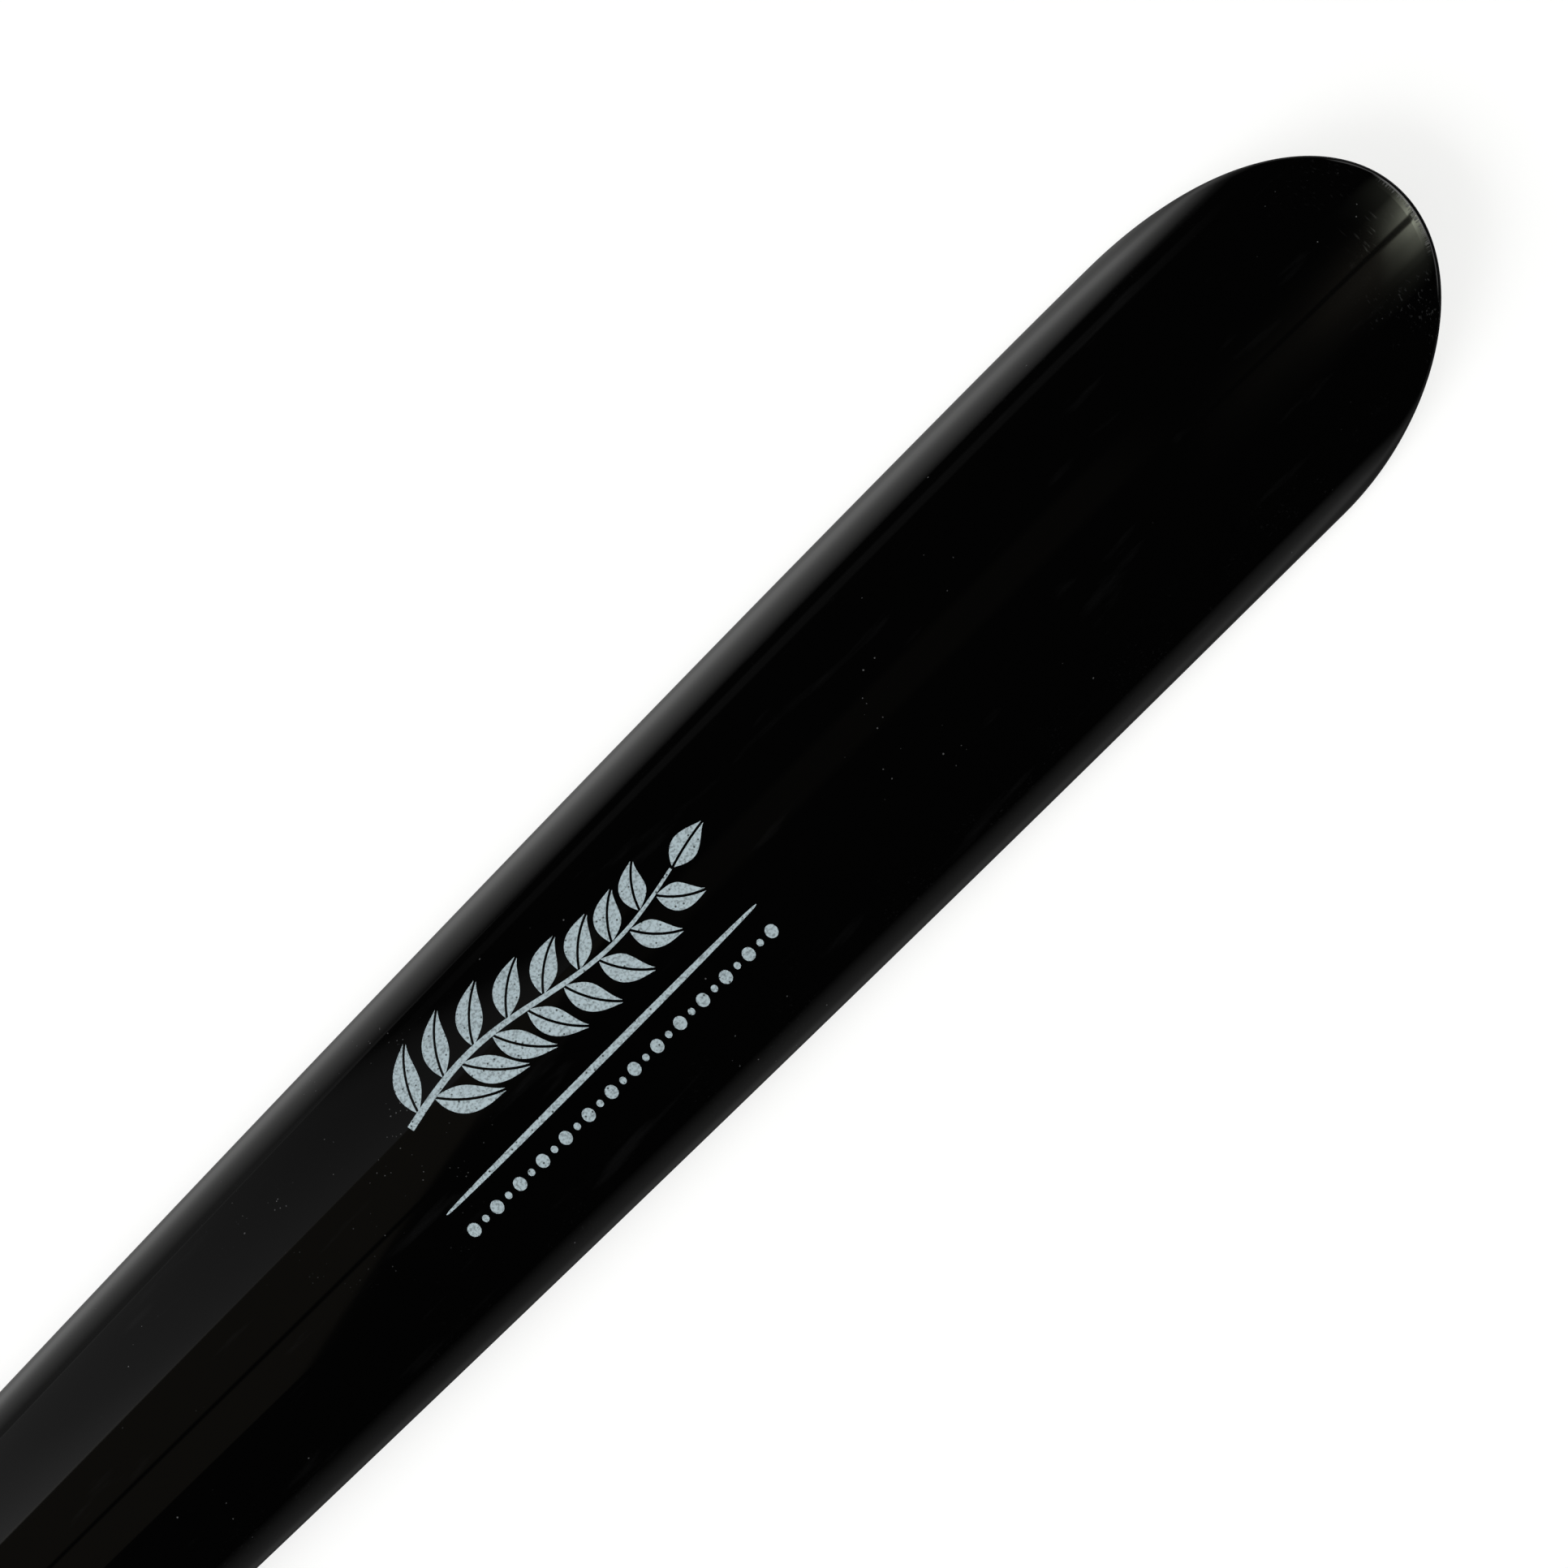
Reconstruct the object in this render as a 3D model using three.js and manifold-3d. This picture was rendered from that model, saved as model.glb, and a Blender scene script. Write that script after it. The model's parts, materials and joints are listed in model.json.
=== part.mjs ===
// A long-handled shoe horn, lying on a table with its hollow side down.
// The moulded blade is a trough that narrows to a neck and ends in a bolster and a flat tongue.
// Two handle shells close over the tongue, and screws from below draw them together.
// A closed wire ring is caught in the eye that the two shells form at the end of the handle.
// Millimetres. +X points at the blade's tip, +Y across the blade, +Z up from the table.
// A station is a distance from the tip towards the handle, a setback one from the handle's front.

import * as THREE from 'three';
import { mergeVertices } from 'three/addons/utils/BufferGeometryUtils.js';
import Module from 'manifold-3d';

// Clearance between pieces that touch
const FIT_GAP = 0.3;

// Blade, seen from above
const BLADE_LENGTH = 392;
const BLADE_WIDTH = 44.4;
const TIP_LENGTH = 32.7;
const NECK_WIDTH = 25.2;
const TAPER_POWER = 1.72;

// Blade, across and along its trough
const TROUGH_DEPTH = 12.5;
const NECK_DEPTH = 11.2;
const BLADE_WALL = 2.4;
const TIP_WALL = 1.6;
const THINNING_LENGTH = 60;
const BLADE_RISE = 8;
const TIP_CURL = 3;
const CURL_LENGTH = 55;

// Bolster and tongue
const BOLSTER_THICKNESS = 4;
const BOLSTER_LIP = 0.8;
const TONGUE_WIDTH = 14;
const TONGUE_THICKNESS = 5;
const TONGUE_MARGIN = 10;

// Handle, from the bolster to the end that carries the eye
const HANDLE_LENGTH = 152;
const HANDLE_WALL = 2.6;
const HANDLE_END_WIDTH = 22;
const HANDLE_SIDE_SWELL = 2.2;
const HANDLE_CROWN_SWELL = 1.5;
const HANDLE_END_CROWN = 8.5;
const HANDLE_FRONT_BELLY = 6.5;
const HANDLE_END_BELLY = 7;
const HANDLE_END_ROUND = 9;
const HANDLE_END_FLAT = 7;
const PARTING_HEIGHT = 8.5;
const LAND_DEPTH = 0.6;

// Thumb grooves across the crown of the handle
const GROOVE_COUNT = 9;
const GROOVE_PITCH = 5.5;
const GROOVE_WIDTH = 1.8;
const GROOVE_DEPTH = 0.7;
const GROOVE_SPAN = 17;
const GROOVE_SETBACK = 46;

// Screws and the bosses that take them
const FRONT_SETBACK = 15;
const TONGUE_SCREW_PITCH = 38;
const REAR_SETBACK = 24;
const SHANK_RADIUS = 1.5;
const SHANK_POINT = 2;
const HEAD_RADIUS = 2.9;
const HEAD_HEIGHT = 2;
const HEAD_ROUND = 0.7;
const HEAD_RECESS = 0.6;
const SLOT_WIDTH = 0.8;
const SLOT_LENGTH = 3.6;
const SLOT_DEPTH = 1.1;
const BOSS_WALL = 1.4;
const SPIGOT_WALL = 1.5;
const PILOT_ROOF = 3;

// Hanging eye and ring
const EYE_REACH = 5;
const EYE_WALL = 4.2;
const TAB_THICKNESS = 6;
const RING_RADIUS = 13;
const WIRE_RADIUS = 1.25;

// Facets
const ARC_STEPS = 16;
const RIM_STEPS = 4;
const TIP_STEPS = 11;
const BODY_STEPS = 13;
const OVAL_STEPS = 32;
const HANDLE_STEPS = 12;
const END_STEPS = 5;
const ROUND_STEPS = 20;
const RING_STEPS = 40;
const WIRE_STEPS = 10;

// Corners of a mesh that are closer than this are one corner
const SAME_POINT = 1e-4;

// Larger than any piece, for the blocks that cut one in two
const BEYOND = 2 * (BLADE_LENGTH + HANDLE_LENGTH);

const wasm = await Module();
wasm.setup();

function solidOf(geometry) {
  const bare = new THREE.BufferGeometry();
  bare.setAttribute('position', geometry.getAttribute('position'));
  bare.setIndex(geometry.index);
  const merged = mergeVertices(bare, SAME_POINT);
  const mesh = new wasm.Mesh({
    numProp: 3,
    vertProperties: new Float32Array(merged.attributes.position.array),
    triVerts: new Uint32Array(merged.index.array),
  });
  return new wasm.Manifold(mesh);
}

function geometryOf(solid) {
  const mesh = solid.getMesh();
  const geometry = new THREE.BufferGeometry();
  geometry.setAttribute('position', new THREE.BufferAttribute(mesh.vertProperties, 3));
  geometry.setIndex(new THREE.BufferAttribute(mesh.triVerts, 1));
  geometry.computeVertexNormals();
  return geometry;
}

// A closed skin over rings of points that run from +X to -X, each anticlockwise seen from +X.
function loft(rings) {
  const count = rings[0].length;
  const last = (rings.length - 1) * count;
  const faces = [];
  for (let ring = 0; ring < rings.length - 1; ring++) {
    for (let i = 0; i < count; i++) {
      const here = ring * count + i;
      const beside = ring * count + (i + 1) % count;
      faces.push(here, beside + count, beside);
      faces.push(here, here + count, beside + count);
    }
  }
  for (const [a, b, c] of endFaces(rings[0])) {
    faces.push(a, b, c);
  }
  for (const [a, b, c] of endFaces(rings[rings.length - 1])) {
    faces.push(last + a, last + c, last + b);
  }
  const geometry = new THREE.BufferGeometry().setFromPoints(rings.flat());
  geometry.setIndex(faces);
  return geometry;
}

function endFaces(ring) {
  const outline = ring.map((point) => new THREE.Vector2(point.y, point.z));
  return THREE.ShapeUtils.triangulateShape(outline, []);
}

function block(low, high) {
  const size = new THREE.Vector3().subVectors(high, low);
  const middle = new THREE.Vector3().addVectors(low, high).multiplyScalar(0.5);
  const geometry = new THREE.BoxGeometry(size.x, size.y, size.z);
  return solidOf(geometry.translate(middle.x, middle.y, middle.z));
}

function upright(radius, station, bottom, top) {
  const geometry = new THREE.CylinderGeometry(radius, radius, top - bottom, ROUND_STEPS);
  geometry.rotateX(Math.PI / 2);
  return solidOf(geometry.translate(-station, 0, (bottom + top) / 2));
}

// Blade
const bladeHalf = BLADE_WIDTH / 2;
const neckHalf = NECK_WIDTH / 2;
const taperLength = BLADE_LENGTH - TIP_LENGTH;

function bladeHalfWidth(station) {
  if (station < TIP_LENGTH) {
    const reach = 1 - station / TIP_LENGTH;
    return bladeHalf * Math.sqrt(1 - reach * reach);
  }
  const share = (station - TIP_LENGTH) / taperLength;
  return bladeHalf - (bladeHalf - neckHalf) * share ** TAPER_POWER;
}

function bladeWall(station) {
  const share = Math.min(1, station / THINNING_LENGTH);
  return TIP_WALL + (BLADE_WALL - TIP_WALL) * share;
}

function troughDepth(station) {
  const share = Math.max(0, station - TIP_LENGTH) / taperLength;
  return TROUGH_DEPTH + (NECK_DEPTH - TROUGH_DEPTH) * share;
}

function archRadius(station) {
  const half = bladeHalfWidth(Math.max(station, TIP_LENGTH));
  const depth = troughDepth(station);
  return (half * half + depth * depth) / (2 * depth);
}

function crownHeight(station) {
  const bow = (BLADE_LENGTH - station) / taperLength;
  const curl = Math.max(0, 1 - station / CURL_LENGTH);
  return BLADE_RISE * (1 - bow * bow) + troughDepth(station) - TIP_CURL * curl * curl;
}

// One cross-section: the outer arch, a round rim, the inner arch and the other rim.
function bladeRing(station) {
  const wall = bladeWall(station);
  const radius = archRadius(station);
  const middle = radius - wall / 2;
  const half = Math.asin((bladeHalfWidth(station) - wall / 2) / middle);
  const centre = crownHeight(station) - radius;
  const ring = [];
  const addPoint = (across, up) => ring.push(new THREE.Vector3(-station, across, centre + up));
  const addArch = (from, to, distance) => {
    for (let i = 0; i <= ARC_STEPS; i++) {
      const angle = from + (to - from) * i / ARC_STEPS;
      addPoint(distance * Math.sin(angle), distance * Math.cos(angle));
    }
  };
  const addRim = (side, turn) => {
    const across = middle * Math.sin(half) + wall / 2 * Math.sin(half + turn);
    const up = middle * Math.cos(half) + wall / 2 * Math.cos(half + turn);
    addPoint(side * across, up);
  };
  addArch(half, -half, radius);
  for (let i = 1; i < RIM_STEPS; i++) {
    addRim(-1, Math.PI * i / RIM_STEPS);
  }
  addArch(-half, half, radius - wall);
  for (let i = RIM_STEPS - 1; i > 0; i--) {
    addRim(1, Math.PI * i / RIM_STEPS);
  }
  return ring;
}

function troughGeometry() {
  const rings = [];
  const firstTurn = Math.asin(TIP_WALL / bladeHalf);
  for (let i = 0; i < TIP_STEPS; i++) {
    const turn = firstTurn + (Math.PI / 2 - firstTurn) * i / TIP_STEPS;
    rings.push(bladeRing(TIP_LENGTH * (1 - Math.cos(turn))));
  }
  for (let i = 0; i <= BODY_STEPS; i++) {
    rings.push(bladeRing(TIP_LENGTH + taperLength * i / BODY_STEPS));
  }
  rings.push(bladeRing(BLADE_LENGTH + BOLSTER_THICKNESS / 2));
  return loft(rings);
}

// The blade's rims touch the table, so their lowest point is height 0 for every other piece.
const trough = troughGeometry();
trough.computeBoundingBox();
const rimHeight = trough.boundingBox.min.z;
trough.translate(0, 0, -rimHeight);

// Handle outline
const handleStation = BLADE_LENGTH + BOLSTER_THICKNESS + FIT_GAP;
const frontCrown = crownHeight(BLADE_LENGTH) - rimHeight - PARTING_HEIGHT;
const bellySwell = PARTING_HEIGHT + LAND_DEPTH - (HANDLE_FRONT_BELLY + HANDLE_END_BELLY) / 2;
const endStart = HANDLE_LENGTH - HANDLE_END_ROUND;

function between(front, end, swell, setback) {
  const share = setback / HANDLE_LENGTH;
  return front + (end - front) * share + swell * Math.sin(Math.PI * share);
}

function handleSize(setback) {
  const rounding = Math.max(0, setback - endStart) / HANDLE_END_ROUND;
  const flatShare = HANDLE_END_FLAT / HANDLE_END_WIDTH;
  const fullness = Math.sqrt(1 - (1 - flatShare ** 2) * rounding ** 2);
  return {
    half: fullness * between(neckHalf, HANDLE_END_WIDTH / 2, HANDLE_SIDE_SWELL, setback),
    crown: fullness * between(frontCrown, HANDLE_END_CROWN, HANDLE_CROWN_SWELL, setback),
    belly: fullness * between(HANDLE_FRONT_BELLY, HANDLE_END_BELLY, bellySwell, setback),
  };
}

function ovalRing(station, size, grow) {
  const ring = [];
  for (let i = 0; i < OVAL_STEPS; i++) {
    const angle = 2 * Math.PI * i / OVAL_STEPS;
    const height = Math.sin(angle) > 0 ? size.crown : size.belly;
    const across = (size.half + grow) * Math.cos(angle);
    const up = (height + grow) * Math.sin(angle);
    ring.push(new THREE.Vector3(-station, across, PARTING_HEIGHT + up));
  }
  return ring;
}

function handleSolid(grow, from, to) {
  const rings = [];
  const addRing = (setback) => rings.push(ovalRing(handleStation + setback, handleSize(setback), grow));
  for (let i = 0; i <= HANDLE_STEPS; i++) {
    addRing(from + (Math.min(to, endStart) - from) * i / HANDLE_STEPS);
  }
  for (let i = 1; i <= END_STEPS && to > endStart; i++) {
    addRing(endStart + (to - endStart) * Math.sin(Math.PI / 2 * i / END_STEPS));
  }
  return solidOf(loft(rings));
}

// Screws: two pass through the tongue and one stands between it and the eye.
const shankHole = SHANK_RADIUS + FIT_GAP;
const headHole = HEAD_RADIUS + FIT_GAP;
const bossRadius = headHole + BOSS_WALL;
const spigotRadius = shankHole + SPIGOT_WALL;
const tongueTop = PARTING_HEIGHT + TONGUE_THICKNESS / 2;
const tongueBottom = PARTING_HEIGHT - TONGUE_THICKNESS / 2;

function screwPlace(setback, inTongue) {
  const size = handleSize(setback);
  const surface = Math.max(0, PARTING_HEIGHT - size.belly);
  const headBottom = surface + HEAD_RECESS;
  const lowerTop = inTongue ? tongueBottom - FIT_GAP : PARTING_HEIGHT - FIT_GAP / 2;
  return {
    station: handleStation + setback,
    headBottom,
    headTop: headBottom + HEAD_HEIGHT,
    lowerTop,
    spigotBottom: lowerTop + FIT_GAP,
    shoulder: inTongue ? tongueTop + FIT_GAP : PARTING_HEIGHT + FIT_GAP / 2,
    pilotTop: PARTING_HEIGHT + size.crown - PILOT_ROOF,
  };
}

const tongueScrews = [
  screwPlace(FRONT_SETBACK, true),
  screwPlace(FRONT_SETBACK + TONGUE_SCREW_PITCH, true),
];
const endScrew = screwPlace(HANDLE_LENGTH - REAR_SETBACK, false);
const screwPlaces = [...tongueScrews, endScrew];
const shankLength = Math.min(...screwPlaces.map((place) => place.pilotTop - place.headTop)) - FIT_GAP;

// Blade with its bolster and tongue
function bolsterSolid() {
  const size = handleSize(0);
  const profile = [
    [0, 0],
    [BOLSTER_LIP, BOLSTER_LIP],
    [BOLSTER_THICKNESS - BOLSTER_LIP, BOLSTER_LIP],
    [BOLSTER_THICKNESS, 0],
  ];
  return solidOf(loft(profile.map(([depth, grow]) => ovalRing(BLADE_LENGTH + depth, size, grow))));
}

function tongueSolid(grow) {
  const half = TONGUE_WIDTH / 2 + grow;
  const root = -(BLADE_LENGTH + BOLSTER_THICKNESS / 2);
  const turn = -(handleStation + FRONT_SETBACK + TONGUE_SCREW_PITCH + TONGUE_MARGIN) + TONGUE_WIDTH / 2;
  const outline = new THREE.Shape();
  outline.moveTo(root, -half);
  outline.lineTo(root, half);
  outline.lineTo(turn, half);
  outline.absarc(turn, 0, half, Math.PI / 2, 3 * Math.PI / 2);
  const depth = TONGUE_THICKNESS + 2 * grow;
  const geometry = new THREE.ExtrudeGeometry(outline, {
    depth,
    bevelEnabled: false,
    curveSegments: ROUND_STEPS / 2,
  });
  return solidOf(geometry.translate(0, 0, tongueBottom - grow));
}

function bladeSolid() {
  let blade = solidOf(trough).add(bolsterSolid()).add(tongueSolid(0));
  for (const place of tongueScrews) {
    blade = blade.subtract(upright(spigotRadius + FIT_GAP, place.station, -BEYOND, BEYOND));
  }
  return blade;
}

// Hanging eye: a tab whose hole lies on the parting plane, half in each shell
const wireSagitta = RING_RADIUS - Math.sqrt(RING_RADIUS ** 2 - (TAB_THICKNESS / 2) ** 2);
const eyeRadius = WIRE_RADIUS + wireSagitta + FIT_GAP;
const tabHalf = eyeRadius + EYE_WALL;
const eyeStation = handleStation + HANDLE_LENGTH + EYE_REACH;

function tabSolid() {
  const root = -(handleStation + endStart);
  const outline = new THREE.Shape();
  outline.moveTo(root, PARTING_HEIGHT - tabHalf);
  outline.lineTo(root, PARTING_HEIGHT + tabHalf);
  outline.lineTo(-eyeStation, PARTING_HEIGHT + tabHalf);
  outline.absarc(-eyeStation, PARTING_HEIGHT, tabHalf, Math.PI / 2, 3 * Math.PI / 2);
  const eye = new THREE.Path();
  eye.absarc(-eyeStation, PARTING_HEIGHT, eyeRadius, 0, 2 * Math.PI);
  outline.holes.push(eye);
  const geometry = new THREE.ExtrudeGeometry(outline, {
    depth: TAB_THICKNESS,
    bevelEnabled: false,
    curveSegments: ROUND_STEPS / 2,
  });
  geometry.rotateX(Math.PI / 2);
  return solidOf(geometry.translate(0, TAB_THICKNESS / 2, 0));
}

// Handle shells: one hollow body cut in two at the parting plane
const handleOuter = handleSolid(0, 0, HANDLE_LENGTH);
const handleHollow = handleSolid(-HANDLE_WALL, HANDLE_WALL, endStart);
const hollowHandle = handleOuter.subtract(handleHollow).add(tabSolid());
const tongueRoom = tongueSolid(FIT_GAP);

function grooveSolid() {
  const floor = handleSolid(-GROOVE_DEPTH, 0, endStart);
  const slabs = [];
  for (let i = 0; i < GROOVE_COUNT; i++) {
    const station = handleStation + HANDLE_LENGTH - GROOVE_SETBACK - GROOVE_PITCH * i;
    const low = new THREE.Vector3(-station - GROOVE_WIDTH / 2, -GROOVE_SPAN / 2, PARTING_HEIGHT);
    const high = new THREE.Vector3(-station + GROOVE_WIDTH / 2, GROOVE_SPAN / 2, BEYOND);
    slabs.push(block(low, high));
  }
  return slabs.reduce((all, slab) => all.add(slab)).subtract(floor);
}

function upperShellSolid() {
  const low = new THREE.Vector3(-BEYOND, -BEYOND, PARTING_HEIGHT + FIT_GAP / 2);
  let shell = hollowHandle.intersect(block(low, new THREE.Vector3(BEYOND, BEYOND, BEYOND)));
  shell = shell.subtract(tongueRoom);
  for (const place of screwPlaces) {
    const boss = upright(bossRadius, place.station, place.shoulder, BEYOND);
    const spigot = upright(spigotRadius, place.station, place.spigotBottom, BEYOND);
    shell = shell.add(boss.add(spigot).intersect(handleOuter));
  }
  for (const place of screwPlaces) {
    shell = shell.subtract(upright(shankHole, place.station, -BEYOND, place.pilotTop));
  }
  return shell.subtract(grooveSolid());
}

function lowerShellSolid() {
  const high = new THREE.Vector3(BEYOND, BEYOND, PARTING_HEIGHT - FIT_GAP / 2);
  const low = new THREE.Vector3(-BEYOND, -BEYOND, 0);
  const belowParting = block(low, high);
  let shell = hollowHandle.subtract(tongueRoom);
  for (const place of screwPlaces) {
    const boss = upright(bossRadius, place.station, -BEYOND, place.lowerTop);
    shell = shell.add(boss.intersect(handleOuter));
  }
  for (const place of screwPlaces) {
    shell = shell.subtract(upright(headHole, place.station, -BEYOND, place.headTop + FIT_GAP));
    shell = shell.subtract(upright(shankHole, place.station, -BEYOND, BEYOND));
  }
  return shell.intersect(belowParting);
}

// Screw, head down at height 0
function screwSolid() {
  const tip = HEAD_HEIGHT + shankLength;
  const profile = [
    [0, 0],
    [HEAD_RADIUS - HEAD_ROUND, 0],
    [HEAD_RADIUS, HEAD_ROUND],
    [HEAD_RADIUS, HEAD_HEIGHT],
    [SHANK_RADIUS, HEAD_HEIGHT],
    [SHANK_RADIUS, tip - SHANK_POINT],
    [0, tip],
  ];
  const points = profile.map(([radius, height]) => new THREE.Vector2(radius, height));
  const geometry = new THREE.LatheGeometry(points, ROUND_STEPS);
  geometry.rotateX(Math.PI / 2);
  const long = new THREE.Vector3(SLOT_LENGTH / 2, SLOT_WIDTH / 2, SLOT_DEPTH);
  const wide = new THREE.Vector3(SLOT_WIDTH / 2, SLOT_LENGTH / 2, SLOT_DEPTH);
  const cross = block(long.clone().negate(), long).add(block(wide.clone().negate(), wide));
  return solidOf(geometry).subtract(cross);
}

// Colours and finish
const glossBlack = new THREE.MeshStandardMaterial({ color: 0x060607, roughness: 0.12, metalness: 0 });
const satinBlack = new THREE.MeshStandardMaterial({ color: 0x0f0f11, roughness: 0.45, metalness: 0 });
const screwSteel = new THREE.MeshStandardMaterial({ color: 0x8b8d90, roughness: 0.4, metalness: 1 });
const ringSteel = new THREE.MeshStandardMaterial({ color: 0xc4c6c8, roughness: 0.2, metalness: 1 });

const horn = new THREE.Group();

function addPiece(parent, name, geometry, material) {
  const mesh = new THREE.Mesh(geometry, material);
  mesh.name = name;
  parent.add(mesh);
  return mesh;
}

addPiece(horn, 'blade', geometryOf(bladeSolid()), glossBlack);
addPiece(horn, 'handle_upper_shell', geometryOf(upperShellSolid()), satinBlack);
addPiece(horn, 'handle_lower_shell', geometryOf(lowerShellSolid()), satinBlack);

const screw = geometryOf(screwSolid());
screwPlaces.forEach((place, i) => {
  const mesh = addPiece(horn, `handle_screw_${i + 1}`, screw, screwSteel);
  mesh.position.set(-place.station, 0, place.headBottom);
});

// The ring hangs from the eye and its far side lies on the table.
const ringDroop = Math.asin((PARTING_HEIGHT - WIRE_RADIUS) / (2 * RING_RADIUS));
const ringPivot = new THREE.Group();
ringPivot.position.set(-eyeStation, 0, PARTING_HEIGHT);
ringPivot.rotation.y = -ringDroop;
horn.add(ringPivot);
const wire = new THREE.TorusGeometry(RING_RADIUS, WIRE_RADIUS, WIRE_STEPS, RING_STEPS);
addPiece(ringPivot, 'hang_ring', wire, ringSteel).position.x = -RING_RADIUS;

// The origin is under the middle of the whole horn, on the table.
horn.updateMatrixWorld(true);
const middle = new THREE.Box3().setFromObject(horn, true).getCenter(new THREE.Vector3());
horn.children.forEach((child) => {
  child.position.x -= middle.x;
});

export default horn;
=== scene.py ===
# Looks of a long-handled shoe horn that lies on a white floor with its hollow side down.
# Every piece is built in millimetres from the sizes of the part's solids.
# It is then placed in metres, in their frame.
# A station is a distance from the blade's tip towards the handle, a setback one from the handle's front.

import json
import math

import bmesh
import bpy
from mathutils import Color, Matrix, Vector


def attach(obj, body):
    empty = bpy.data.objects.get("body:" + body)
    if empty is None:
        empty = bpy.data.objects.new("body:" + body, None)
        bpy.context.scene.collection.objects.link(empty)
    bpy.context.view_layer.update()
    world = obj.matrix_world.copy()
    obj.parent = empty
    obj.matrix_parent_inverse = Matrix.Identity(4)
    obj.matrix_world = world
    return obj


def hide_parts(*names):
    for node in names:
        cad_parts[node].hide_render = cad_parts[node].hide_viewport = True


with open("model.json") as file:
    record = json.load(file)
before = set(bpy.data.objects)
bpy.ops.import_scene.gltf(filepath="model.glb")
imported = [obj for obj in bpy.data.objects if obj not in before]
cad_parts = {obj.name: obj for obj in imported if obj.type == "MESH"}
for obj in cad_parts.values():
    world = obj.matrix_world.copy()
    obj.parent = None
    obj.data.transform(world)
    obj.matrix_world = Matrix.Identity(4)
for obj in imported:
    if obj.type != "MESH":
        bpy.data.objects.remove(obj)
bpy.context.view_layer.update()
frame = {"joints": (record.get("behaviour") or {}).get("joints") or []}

MM = 0.001

# Sizes of the part's solids
FIT_GAP = 0.3
BLADE_LENGTH = 392
BLADE_WIDTH = 44.4
TIP_LENGTH = 32.7
NECK_WIDTH = 25.2
TAPER_POWER = 1.72
TROUGH_DEPTH = 12.5
NECK_DEPTH = 11.2
BLADE_WALL = 2.4
TIP_WALL = 1.6
THINNING_LENGTH = 60
BLADE_RISE = 8
TIP_CURL = 3
CURL_LENGTH = 55
BOLSTER_THICKNESS = 4
BOLSTER_LIP = 0.8
TONGUE_WIDTH = 14
TONGUE_THICKNESS = 5
TONGUE_MARGIN = 10
HANDLE_LENGTH = 152
HANDLE_WALL = 2.6
HANDLE_END_WIDTH = 22
HANDLE_SIDE_SWELL = 2.2
HANDLE_CROWN_SWELL = 1.5
HANDLE_END_CROWN = 8.5
HANDLE_FRONT_BELLY = 6.5
HANDLE_END_BELLY = 7
HANDLE_END_ROUND = 9
HANDLE_END_FLAT = 7
PARTING_HEIGHT = 8.5
LAND_DEPTH = 0.6
GROOVE_COUNT = 9
GROOVE_PITCH = 5.5
GROOVE_DEPTH = 0.7
GROOVE_SPAN = 17
GROOVE_SETBACK = 46
FRONT_SETBACK = 15
TONGUE_SCREW_PITCH = 38
REAR_SETBACK = 24
SHANK_RADIUS = 1.5
SHANK_POINT = 2
HEAD_RADIUS = 2.9
HEAD_HEIGHT = 2
HEAD_ROUND = 0.7
HEAD_RECESS = 0.6
SLOT_WIDTH = 0.8
SLOT_LENGTH = 3.6
SLOT_DEPTH = 1.1
BOSS_WALL = 1.4
SPIGOT_WALL = 1.5
PILOT_ROOF = 3
EYE_REACH = 5
EYE_WALL = 4.2
TAB_THICKNESS = 6
RING_RADIUS = 13
WIRE_RADIUS = 1.25

# Fine meshes reach past the solids' flat facets, so their outermost curves are drawn this much smaller.
EASE = 0.06

# Sizes that follow from them
BLADE_HALF = BLADE_WIDTH / 2 - EASE
NECK_HALF = NECK_WIDTH / 2
TAPER_LENGTH = BLADE_LENGTH - TIP_LENGTH
ROOT_STATION = BLADE_LENGTH + BOLSTER_THICKNESS / 2
HANDLE_STATION = BLADE_LENGTH + BOLSTER_THICKNESS + FIT_GAP
END_START = HANDLE_LENGTH - HANDLE_END_ROUND
TONGUE_TOP = PARTING_HEIGHT + TONGUE_THICKNESS / 2
TONGUE_BOTTOM = PARTING_HEIGHT - TONGUE_THICKNESS / 2
PARTING_GAP = FIT_GAP / 2
SHANK_HOLE = SHANK_RADIUS + FIT_GAP
HEAD_HOLE = HEAD_RADIUS + FIT_GAP
BOSS_RADIUS = HEAD_HOLE + BOSS_WALL
SPIGOT_RADIUS = SHANK_HOLE + SPIGOT_WALL
WIRE_SAGITTA = RING_RADIUS - math.sqrt(RING_RADIUS ** 2 - (TAB_THICKNESS / 2) ** 2)
EYE_RADIUS = WIRE_RADIUS + WIRE_SAGITTA + FIT_GAP
TAB_HALF = EYE_RADIUS + EYE_WALL
EYE_SETBACK = HANDLE_LENGTH + EYE_REACH
EYE_STATION = HANDLE_STATION + EYE_SETBACK
RING_DROOP = math.asin((PARTING_HEIGHT - WIRE_RADIUS) / (2 * RING_RADIUS))

# The hinge of the ring stands at the eye's station, which places the tip in the part's frame.
HINGE = frame["joints"][0]["pos_m"]
TIP_X = HINGE[0] / MM + EYE_STATION

# Fineness of the meshes
ACROSS_STEPS = 36
RIM_STEPS = 10
BODY_STEPS = 170
TIP_TURN_STEPS = 120
SHELL_STEPS = 72
LAND_STEPS = 12
OVAL_STEPS = 144
CORNER_STEPS = 4
HANDLE_ROW = 1.2
GROOVE_ROW = 0.17
END_ROW = 0.2
EYE_STEPS = 30
ROUND_STEPS = 64
RING_STEPS = 480
WIRE_STEPS = 28

# Edges that the moulding rounds off
PARTING_ROUND = 0.35
TAB_FILLET = 1.6
TAB_SQUARENESS = 6
GROOVE_LIP = 1.25
GROOVE_FADE = 2.5
COUNTERSINK = 0.35
SLOT_TAPER = 0.7
SEAM_DEPTH = 0.16
SEAM_WIDTH = 0.22


# Meshes

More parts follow.
